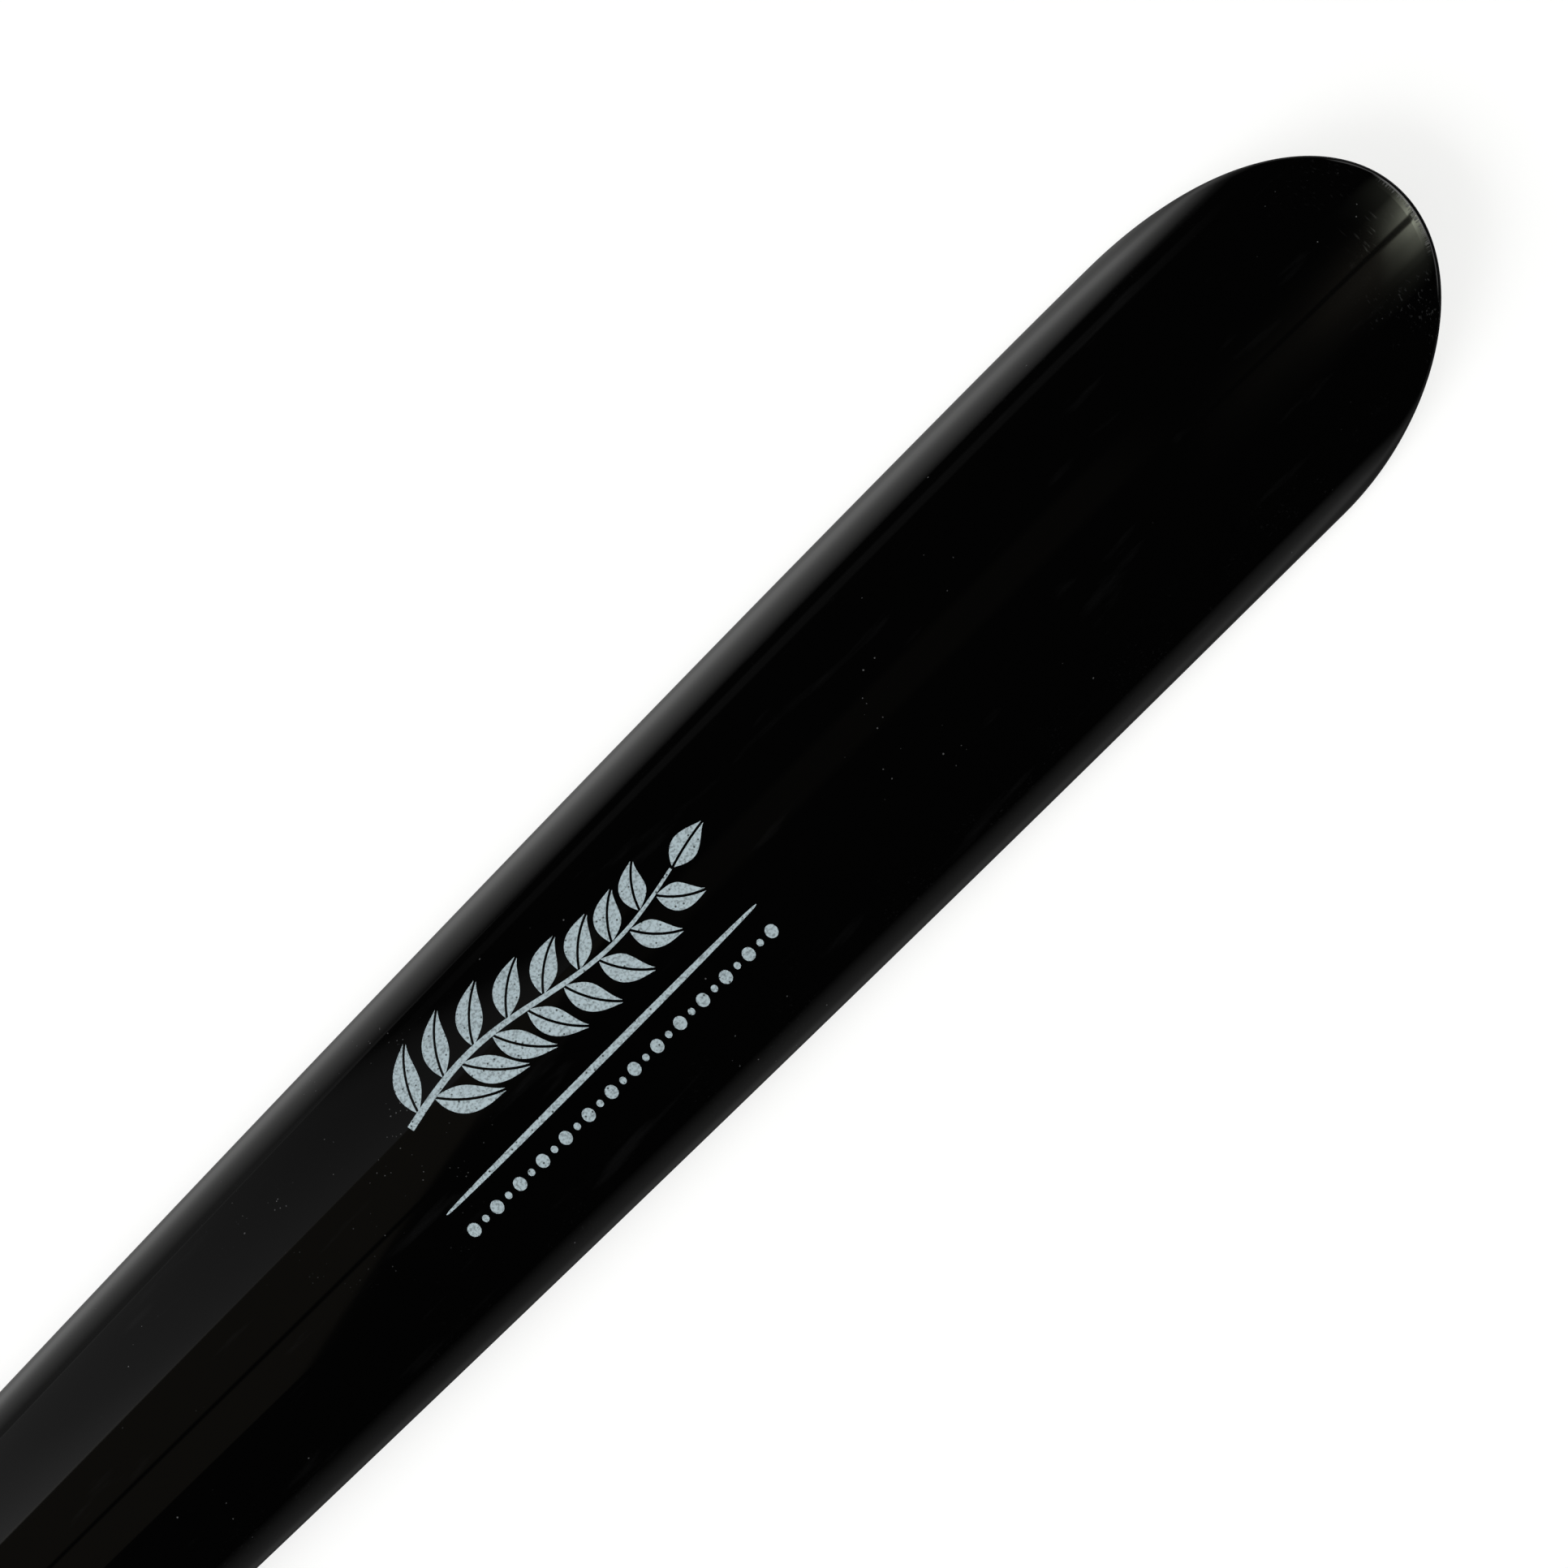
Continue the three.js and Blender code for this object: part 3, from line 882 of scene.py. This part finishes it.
def build_print():
    strokes = [even_stroke(stem_line, stem_half, LINE_STEPS)]
    for index in range(LEAF_PAIRS):
        length = LEAF_LENGTH * (1 - LEAF_SHRINK * index / LEAF_PAIRS)
        for side, place in ((1, LEFT_LEAF), (-1, RIGHT_LEAF)):
            (along, across), heading = stem_line((index + place) / (LEAF_PAIRS + LAST_STRETCH))
            turned = heading + side * LEAF_SPREAD
            start = (along + LEAF_GAP * math.cos(turned), across + LEAF_GAP * math.sin(turned))
            strokes += leaf(start, turned, length, side * LEAF_BEND)
    (along, across), heading = stem_line(1)
    start = (along + END_LEAF_GAP, across)
    strokes += leaf(start, heading, LEAF_LENGTH * END_LEAF_SIZE, LEAF_BEND * END_LEAF_BEND)
    strokes.append(even_stroke(rule_line, rule_half, LINE_STEPS))
    for index in range(BEAD_COUNT):
        along = BEAD_PITCH * (index - (BEAD_COUNT - 1) / 2)
        strokes.append(bead(along, BEAD_ACROSS, BEAD_SMALL if index % 2 else BEAD_RADIUS))
    sprig = joined("print_sprig", strokes)
    smooth(sprig, crease_degrees=40)
    return sprig


# Materials

EVEN = (1, 1, 1)


def colour(red, green, blue):
    """The shader's value of a colour given as it is seen, from 0 to 255."""
    brightest = 255
    seen = Color([channel / brightest for channel in (red, green, blue)])
    return (*seen.from_srgb_to_scene_linear(), 1)


class Nodes:
    """A node tree with short ways to add nodes; an input is a value or another node's socket."""

    def __init__(self, tree):
        self.tree = tree
        self.tree.nodes.clear()

    def add(self, kind, inputs=None, **settings):
        node = self.tree.nodes.new(kind)
        for name, value in settings.items():
            setattr(node, name, value)
        for name, value in (inputs or {}).items():
            self.feed(node.inputs[name], value)
        return node

    def feed(self, socket, value):
        if isinstance(value, bpy.types.NodeSocket):
            self.tree.links.new(value, socket)
        else:
            socket.default_value = value

    def maths(self, operation, first, *others):
        """The values taken together by one operation, from left to right."""
        result = first
        for other in others or (0.0,):
            result = self.add("ShaderNodeMath", {0: result, 1: other}, operation=operation).outputs[0]
        return result

    def vector(self, operation, first, second=(0, 0, 0)):
        return self.add("ShaderNodeVectorMath", {0: first, 1: second}, operation=operation).outputs

    def ramp(self, factor, stops):
        """Values between stops, which are (position, value) pairs."""
        node = self.add("ShaderNodeValToRGB", {"Fac": factor})
        elements = node.color_ramp.elements
        while len(elements) < len(stops):
            elements.new(1)
        for element, (position, value) in zip(elements, stops):
            element.position = position
            element.color = value if isinstance(value, tuple) else (value, value, value, 1)
        return node.outputs["Color"]

    def place(self):
        """Where a point of the surface lies, in metres."""
        return self.add("ShaderNodeTexCoord").outputs["Object"]

    def coordinates(self, stretch):
        mapping = self.add("ShaderNodeMapping", {"Vector": self.place(), "Scale": stretch})
        return mapping.outputs["Vector"]

    def noise(self, stretch, scale, detail=2.0):
        inputs = {"Vector": self.coordinates(stretch), "Scale": scale, "Detail": detail}
        return self.add("ShaderNodeTexNoise", inputs).outputs["Fac"]

    def specks(self, scale, size, share):
        """1 in small round spots at random places, 0 elsewhere; a share of the places have one."""
        core = 0.6
        cells = self.add("ShaderNodeTexVoronoi", {"Vector": self.coordinates(EVEN), "Scale": scale})
        spot = self.ramp(cells.outputs["Distance"], [(size * core, 1.0), (size, 0.0)])
        pick = self.add("ShaderNodeSeparateColor", {"Color": cells.outputs["Color"]}).outputs["Red"]
        return self.maths("MULTIPLY", spot, self.maths("LESS_THAN", pick, share))

    def bump(self, height, distance, strength):
        inputs = {"Height": height, "Distance": distance, "Strength": strength}
        return self.add("ShaderNodeBump", inputs).outputs["Normal"]


def principled(name, inputs):
    material = bpy.data.materials.new(name)
    material.use_nodes = True
    nodes = Nodes(material.node_tree)
    shader = nodes.add("ShaderNodeBsdfPrincipled", inputs(nodes))
    output = nodes.add("ShaderNodeOutputMaterial")
    nodes.feed(output.inputs["Surface"], shader.outputs["BSDF"])
    return material


# Middle of the dusty patch on the blade
DUSTY_STATION = 172
DUSTY_ACROSS = 10

# Headings of the worn places, seen from the middle of the round tip; the nicks are kept to where the tip
# glow's reflection falls, so they are partly wear and partly a painted glint
GLINTING_NICKS_WAY = (0.991, -0.134, 0)
SCRATCHED_WAY = (0.893, -0.45, 0)


def dust_marks(nodes):
    """Loose specks, fine dust in clusters, and a patch of the finest dust."""
    loose = nodes.specks(scale=260, size=0.036, share=0.45)
    clusters = nodes.ramp(nodes.noise(EVEN, scale=42), [(0.56, 0.0), (0.64, 1.0)])
    fine = nodes.maths("MULTIPLY", nodes.specks(scale=900, size=0.1, share=0.3), clusters)
    patch_middle = (on_blade(DUSTY_STATION, DUSTY_ACROSS, 0) + Vector((TIP_X, 0, 0))) * MM
    off_patch = nodes.vector("DISTANCE", nodes.place(), patch_middle)["Value"]
    patch = nodes.ramp(off_patch, [(0.012, 1.0), (0.022, 0.0)])
    groups = nodes.ramp(nodes.noise(EVEN, scale=230), [(0.55, 0.0), (0.61, 1.0)])
    finest = nodes.maths("MULTIPLY", nodes.specks(scale=1500, size=0.16, share=0.6), groups, patch)
    return nodes.maths("MAXIMUM", loose, fine, finest)


def from_tip_middle(nodes):
    """Place from the middle of the round tip, as a vector of length 1 on its outline.
    Behind that middle, only the place across the blade counts."""
    middle = TIP_X - TIP_LENGTH
    beyond_side = 2
    sized = nodes.add("ShaderNodeMapping", {
        "Vector": nodes.place(),
        "Location": (-middle / TIP_LENGTH, 0, 0),
        "Scale": (1 / (TIP_LENGTH * MM), 1 / (BLADE_HALF * MM), 0),
    }).outputs["Vector"]
    return nodes.vector("MAXIMUM", sized, (0, -beyond_side, 0))["Vector"]


def tip_wear_and_glints(nodes):
    """Small nicks along the tip's edge, and hairline scratches inside it. The nicks are kept to the arc
    where the tip glow's reflection falls: partly wear, partly a painted glint.
    """
    place = from_tip_middle(nodes)
    reach = nodes.vector("LENGTH", place)["Value"]
    way = nodes.vector("NORMALIZE", place)["Vector"]
    edge = nodes.ramp(reach, [(0.96, 0.0), (0.968, 1.0), (0.978, 1.0), (0.986, 0.0)])
    # Only the arc where the tip glow is reflected gets nicks: a painted glint as well as wear
    near_nicks = nodes.vector("DOT_PRODUCT", way, GLINTING_NICKS_WAY)["Value"]
    nicked = nodes.ramp(near_nicks, [(0.962, 0.0), (0.984, 1.0)])
    chips = nodes.add("ShaderNodeTexNoise", {"Vector": way, "Scale": 95, "Detail": 1}).outputs["Fac"]
    nicks = nodes.maths("MULTIPLY", edge, nicked, nodes.ramp(chips, [(0.48, 0.0), (0.58, 0.7)]))
    inside = nodes.ramp(reach, [(0.6, 0.0), (0.85, 1.0)])
    near_scratches = nodes.vector("DOT_PRODUCT", way, SCRATCHED_WAY)["Value"]
    scratched = nodes.ramp(near_scratches, [(0.85, 0.25), (0.96, 1.0)])
    patches = nodes.ramp(nodes.noise(EVEN, scale=160), [(0.48, 0.0), (0.58, 1.0)])
    hairlines = nodes.ramp(nodes.noise((0.7, 0.12, 1), scale=4200, detail=1), [(0.63, 0.0), (0.75, 0.3)])
    scratches = nodes.maths("MULTIPLY", hairlines, patches, inside, scratched)
    return nodes.maths("MAXIMUM", nicks, scratches)


def gloss_inputs(nodes):
    haze = nodes.ramp(nodes.noise((6, 40, 40), scale=9, detail=6), [(0.62, 0.0), (0.75, 0.05)])
    marks = nodes.maths("MAXIMUM", dust_marks(nodes), tip_wear_and_glints(nodes), haze)
    waves = nodes.noise((3, 14, 14), scale=3)
    return {
        "Base Color": nodes.ramp(marks, [(0, colour(2, 2, 2)), (1, colour(70, 70, 72))]),
        "Roughness": nodes.ramp(marks, [(0, 0.05), (0.1, 0.09), (1, 0.6)]),
        "Normal": nodes.bump(waves, distance=0.002, strength=0.05),
    }


def satin_inputs(nodes):
    mottle = nodes.noise(EVEN, scale=60, detail=5)
    grain = nodes.noise(EVEN, scale=2600, detail=3)
    return {
        "Base Color": nodes.ramp(mottle, [(0.3, colour(13, 13, 15)), (0.7, colour(20, 20, 22))]),
        "Roughness": nodes.ramp(mottle, [(0.35, 0.5), (0.65, 0.38)]),
        "Normal": nodes.bump(grain, distance=0.00012, strength=0.5),
    }


def zinc_inputs(nodes):
    stains = nodes.noise(EVEN, scale=900, detail=4)
    brushing = nodes.noise((1, 12, 1), scale=2400, detail=2)
    return {
        "Base Color": nodes.ramp(stains, [(0.3, colour(126, 128, 133)), (0.7, colour(152, 154, 156))]),
        "Metallic": 1.0,
        "Roughness": nodes.ramp(stains, [(0.3, 0.4), (0.7, 0.26)]),
        "Normal": nodes.bump(brushing, distance=0.00004, strength=0.35),
    }


def nickel_inputs(nodes):
    haze = nodes.noise(EVEN, scale=320, detail=4)
    scratches = nodes.noise((1, 1, 14), scale=900, detail=3)
    return {
        "Base Color": nodes.ramp(haze, [(0.3, colour(186, 186, 184)), (0.7, colour(206, 207, 208))]),
        "Metallic": 1.0,
        "Roughness": nodes.ramp(haze, [(0.35, 0.2), (0.65, 0.09)]),
        "Normal": nodes.bump(scratches, distance=0.00003, strength=0.2),
    }


def ink_inputs(nodes):
    pinholes = nodes.specks(scale=2100, size=0.36, share=0.12)
    streaks = nodes.ramp(nodes.noise((1, 5, 1), scale=420, detail=4), [(0.6, 0.0), (0.78, 0.55)])
    mottle = nodes.ramp(nodes.noise(EVEN, scale=3000, detail=4), [(0.34, 0.6), (0.55, 0.0)])
    thin = nodes.maths("MAXIMUM", pinholes, streaks, mottle)
    return {
        "Base Color": nodes.ramp(thin, [(0, colour(174, 190, 198)), (1, colour(60, 66, 68))]),
        "Roughness": nodes.ramp(thin, [(0, 0.5), (1, 0.3)]),
        "Normal": nodes.bump(thin, distance=0.00003, strength=0.3),
    }


# Pieces

blade = build_blade()
upper_shell = build_upper_shell()
lower_shell = build_lower_shell()
screws = [build_screw(number, screw) for number, screw in enumerate(SCREWS, 1)]
ring = build_ring()
sprig = build_print()

satin = principled("satin_black", satin_inputs)
zinc = principled("zinc", zinc_inputs)
blade.data.materials.append(principled("gloss_black", gloss_inputs))
upper_shell.data.materials.append(satin)
lower_shell.data.materials.append(satin)
for screw in screws:
    screw.data.materials.append(zinc)
ring.data.materials.append(principled("nickel", nickel_inputs))
sprig.data.materials.append(principled("pale_ink", ink_inputs))

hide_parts("blade")
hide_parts("handle_upper_shell")
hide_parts("handle_lower_shell")
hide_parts("hang_ring")
for number, screw in enumerate(screws, 1):
    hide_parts(f"handle_screw_{number}")
for piece in [blade, upper_shell, lower_shell, sprig] + screws:
    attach(piece, "horn")
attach(ring, "ring")


# Camera, over the blade's tip end: the horn runs along the picture's diagonal

CAMERA_DISTANCE = 900
CAMERA_TILT = math.radians(9.15)
CAMERA_ROLL = math.radians(0.32)
AIM_STATION = 105
AIM_HEIGHT = 1.83
AIM_ALONG = 0.23
AIM_DOWN = -3.64
PICTURE_SIDE = 193.2
SENSOR = 36


def add_camera():
    towards = Vector((0, -math.sin(CAMERA_TILT), math.cos(CAMERA_TILT)))
    right = Vector((1, 0, 0))
    up = towards.cross(right)
    along = right * math.cos(CAMERA_ROLL) - up * math.sin(CAMERA_ROLL)
    down = -(right * math.sin(CAMERA_ROLL) + up * math.cos(CAMERA_ROLL))
    picture_right = (along + down).normalized()
    picture_up = (along - down).normalized()
    aim = Vector((TIP_X - AIM_STATION, 0, AIM_HEIGHT)) + along * AIM_ALONG + down * AIM_DOWN
    data = bpy.data.cameras.new("camera")
    data.sensor_width = SENSOR
    data.lens = SENSOR * CAMERA_DISTANCE / PICTURE_SIDE
    data.clip_start = 0.01
    data.clip_end = 100
    camera = link("camera", data)
    turn = Matrix((picture_right, picture_up, towards)).transposed().to_4x4()
    camera.matrix_world = Matrix.Translation((aim + towards * CAMERA_DISTANCE) * MM) @ turn
    bpy.context.scene.camera = camera


# Lights: panels that face the horn, brighter or dimmer along each side by their stops

WHITE = (1, 1, 1)
WARM = (1, 0.9, 0.72)
OLIVE_WHITE = (0.95, 1, 0.8)
FLAT = [(0, 1.0), (1, 1.0)]
SOFT = [(0, 0.0), (0.2, 1.0), (0.8, 1.0), (1, 0.0)]
SPLIT_BELL = [
    (0, 0.0), (0.087, 0.01), (0.187, 0.027), (0.253, 0.073), (0.38, 0.45), (0.464, 1.0),
    (0.476, 0.08), (0.518, 0.08),
    (0.53, 0.85), (0.62, 0.4), (0.728, 0.07), (0.87, 0.03), (1, 0.0),
]
SPLIT_HALO = [
    (0, 0.0), (0.12, 0.1), (0.3, 0.5), (0.45, 1.0), (0.555, 0.95),
    (0.565, 0.2), (0.6, 0.2),
    (0.61, 0.85), (0.7, 0.5), (0.88, 0.1), (1, 0.0),
]
LOW_BRIGHT = [(0, 0.0), (0.1, 1.0), (0.625, 1.0), (0.66, 0.26), (0.69, 0.0), (1, 0.0)]
HIGH_FAINT = [(0, 0.0), (0.62, 0.0), (0.69, 1.0), (0.81, 0.3), (1, 0.0)]
FADING_END = [
    (0, 0.0), (0.19, 1.0), (0.51, 1.0), (0.753, 0.25), (0.803, 0.19), (0.853, 0.125),
    (0.87, 0.11), (0.88, 0.075), (0.889, 0.038), (0.895, 0.0),
]
DARK_LINE = [(0, 1.0), (0.405, 1.0), (0.42, 0.0), (0.44, 0.0), (0.455, 1.0), (1, 1.0)]


def panel(name, centre, facing, across, size, radiance,
          tint=WHITE, across_stops=SOFT, up_stops=SOFT, lean=0):
    """A rectangular light; its stops give its brightness along each side, from 0 to 1.
    The lean is how far the first side's stops shift from one end of the second side to the other."""
    area = size[0] * size[1]
    data = bpy.data.lights.new(name, "AREA")
    data.shape = "RECTANGLE"
    data.size, data.size_y = size
    data.energy = radiance * math.pi * area
    data.color = tint
    data.use_nodes = True
    nodes = Nodes(data.node_tree)
    place = nodes.add("ShaderNodeNewGeometry").outputs["Parametric"]
    sides = nodes.add("ShaderNodeSeparateXYZ", {"Vector": place}).outputs
    shift = nodes.maths("MULTIPLY", nodes.maths("SUBTRACT", sides["Y"], 1), lean)
    across_share = nodes.ramp(nodes.maths("ADD", sides["X"], shift), across_stops)
    up_share = nodes.ramp(sides["Y"], up_stops)
    glow = nodes.add("ShaderNodeEmission", {"Strength": nodes.maths("MULTIPLY", across_share, up_share)})
    output = nodes.add("ShaderNodeOutputLight")
    nodes.feed(output.inputs["Surface"], glow.outputs["Emission"])
    light = link(name, data)
    back = (Vector(centre) - Vector(facing)).normalized()
    side = (Vector(across) - back * Vector(across).dot(back)).normalized()
    axes = Matrix((side, back.cross(side), back)).transposed().to_4x4()
    light.matrix_world = Matrix.Translation(centre) @ axes
    light.visible_camera = False


def add_lights():
    tip = (0.285, 0, 0.01)
    middle = (0, 0, 0.01)
    lengthwise = (1, 0, 0)
    crosswise = (0, 1, 0)
    panel("tip_glow", (0.885, -0.13, 1.04), tip, crosswise, size=(1.5, 0.87), radiance=6,
          tint=OLIVE_WHITE, across_stops=SPLIT_BELL, up_stops=LOW_BRIGHT)
    panel("tip_halo", (0.89, -0.23, 1.05), tip, crosswise, size=(1.2, 0.87), radiance=0.15,
          tint=WARM, across_stops=SPLIT_HALO, up_stops=HIGH_FAINT)
    panel("key_far_end", (1.3, 0, 0.85), middle, crosswise, size=(1.4, 0.7), radiance=2.5)
    panel("key_handle_end", (-1.15, 0, 1.0), middle, crosswise, size=(1.6, 1.1), radiance=7)
    for side in (1, -1):
        panel(f"far_corner_{side}", (1.2, 0.8 * side, 0.5), middle, (-0.55 * side, 0.83, 0),
              size=(0.8, 0.5), radiance=1)
        panel(f"near_corner_{side}", (-0.8, 0.95 * side, 0.55), middle, (0.77, 0.64 * side, 0),
              size=(0.9, 0.5), radiance=2)
    panel("side_card", (-0.425, 0.874, 0.502), (-0.425, 0.024, -0.028), (1, -0.02, -0.03),
          size=(1.26, 1.21), radiance=1, across_stops=FADING_END, up_stops=FLAT, lean=0.0916)
    panel("low_card", (0.3, 1.0, 0.175), (0.3, 0, 0.01), lengthwise, size=(0.45, 0.13), radiance=0.045)
    panel("back_card", (-0.6, -0.85, 0.54), (-0.6, 0, 0.01), lengthwise, size=(1.0, 1.12), radiance=1)
    panel("top_card", (-0.444, 0.03, 1.0), (-0.444, 0.03, 0), (1, -0.15, 0), size=(1.1, 1.2),
          radiance=0.075, tint=WARM, across_stops=FLAT, up_stops=DARK_LINE)
    panel("crown_card", (0.26, 0.165, 1.0), (0.26, 0.165, 0), lengthwise, size=(0.4, 0.43),
          radiance=0.02, tint=WARM)


# Floor and world: white to the eye; in reflections the floor carries painted light and shade: a painted
# pool of light close to the horn, with a painted contact shadow right beside it, dark further off

FLOOR_SIDE = 12
FLOOR_DROP = 0.0002
FLOOR_LIT = 0.3

# Glow by the distance from the middle, as a share of the floor's half side
FLOOR_GLOW = [(0.1, 0.75), (0.5, 1.0)]

# Painted light and shade in reflections of the floor, by the distance off the horn, as a share that is one
# half at HALF_WAY: a painted contact shadow right beside the horn, brightest a little way off, then a
# painted pool of light that fades outwards
HALF_WAY = 0.02
PAINTED_POOL_AND_SHADOW = [
    (0, 0.4), (0.2, 0.5), (0.265, 0.7), (0.317, 0.97), (0.36, 1.0), (0.4, 0.95), (0.444, 0.8),
    (0.5, 0.64), (0.565, 0.52), (0.667, 0.4), (0.75, 0.31), (0.833, 0.21), (0.909, 0.12), (1, 0.0),
]
# Painted shade in reflections of the floor on its -Y side
SHADED_SIDE = 0.4

# Painted light in reflections of the floor, along the horn, from 0 at its middle to 1 at its tip
END_FADE = [(0.345, 0.82), (0.586, 1.0), (0.903, 1.0), (0.993, 0.25)]
DISTANT_FADE = [(0.31, 0.14), (0.428, 0.06), (0.452, 0.0)]


def floor_shader(nodes):
    path = nodes.add("ShaderNodeLightPath").outputs
    glossy_ray = path["Is Glossy Ray"]
    seen = nodes.maths("MAXIMUM", path["Is Camera Ray"], glossy_ray, path["Is Transmission Ray"])
    place = nodes.add("ShaderNodeNewGeometry").outputs["Position"]
    sides = nodes.add("ShaderNodeSeparateXYZ", {"Vector": place}).outputs
    off_side = nodes.maths("SUBTRACT", nodes.maths("ABSOLUTE", sides["Y"]), BLADE_HALF * MM)
    off_end = nodes.maths("SUBTRACT", nodes.maths("ABSOLUTE", sides["X"]), TIP_X * MM)
    off = nodes.maths("MAXIMUM", off_side, off_end, 0)
    share_off = nodes.maths("DIVIDE", off, nodes.maths("ADD", off, HALF_WAY))
    lengthwise = nodes.maths("DIVIDE", sides["X"], TIP_X * MM)
    bright_side = nodes.maths("GREATER_THAN", sides["Y"], 0)
    side = nodes.add("ShaderNodeMapRange", {"Value": bright_side, "To Min": SHADED_SIDE}).outputs["Result"]
    # The floor's brightness in glossy reflections is painted by its place: a painted pool of light and a
    # painted contact shadow beside the horn, and painted shade on the -Y side
    beside = nodes.ramp(share_off, PAINTED_POOL_AND_SHADOW)
    near = nodes.maths("MULTIPLY", beside, nodes.ramp(lengthwise, END_FADE), side)
    distant = nodes.maths("MULTIPLY", nodes.ramp(lengthwise, DISTANT_FADE), bright_side)
    dark = nodes.maths("SUBTRACT", 1, nodes.maths("MAXIMUM", near, distant))
    dark = nodes.maths("MULTIPLY", dark, glossy_ray)
    lit = nodes.add("ShaderNodeBsdfDiffuse", {"Color": (FLOOR_LIT, FLOOR_LIT, FLOOR_LIT, 1)}).outputs[0]
    far = nodes.maths("DIVIDE", nodes.vector("LENGTH", place)["Value"], FLOOR_SIDE / 2)
    glow = nodes.add("ShaderNodeEmission", {"Strength": nodes.ramp(far, FLOOR_GLOW)}).outputs[0]
    white = nodes.add("ShaderNodeAddShader", {0: lit, 1: glow}).outputs[0]
    black = nodes.add("ShaderNodeBsdfDiffuse", {"Color": (0, 0, 0, 1)}).outputs[0]
    shown = nodes.add("ShaderNodeMixShader", {0: dark, 1: white, 2: black}).outputs[0]
    return nodes.add("ShaderNodeMixShader", {0: seen, 1: lit, 2: shown}).outputs[0]


def add_floor():
    half = FLOOR_SIDE / 2
    outline = ((-half, -half), (half, -half), (half, half), (-half, half))
    mesh = bpy.data.meshes.new("floor")
    mesh.from_pydata([(along, across, -FLOOR_DROP) for along, across in outline], [], [(0, 1, 2, 3)])
    material = bpy.data.materials.new("white_floor")
    material.use_nodes = True
    nodes = Nodes(material.node_tree)
    output = nodes.add("ShaderNodeOutputMaterial")
    nodes.feed(output.inputs["Surface"], floor_shader(nodes))
    mesh.materials.append(material)
    link("floor", mesh)


def add_world():
    dim = 0.008
    world = bpy.data.worlds.new("studio")
    world.use_nodes = True
    bpy.context.scene.world = world
    nodes = Nodes(world.node_tree)
    seen = nodes.add("ShaderNodeLightPath").outputs["Is Camera Ray"]
    strength = nodes.add("ShaderNodeMapRange", {"Value": seen, "To Min": dim}).outputs["Result"]
    sky = nodes.add("ShaderNodeBackground", {"Color": (1, 1, 1, 1), "Strength": strength})
    output = nodes.add("ShaderNodeOutputWorld")
    nodes.feed(output.inputs["Surface"], sky.outputs["Background"])


add_camera()
add_lights()
add_floor()
add_world()
bpy.context.scene.view_settings.view_transform = "Standard"
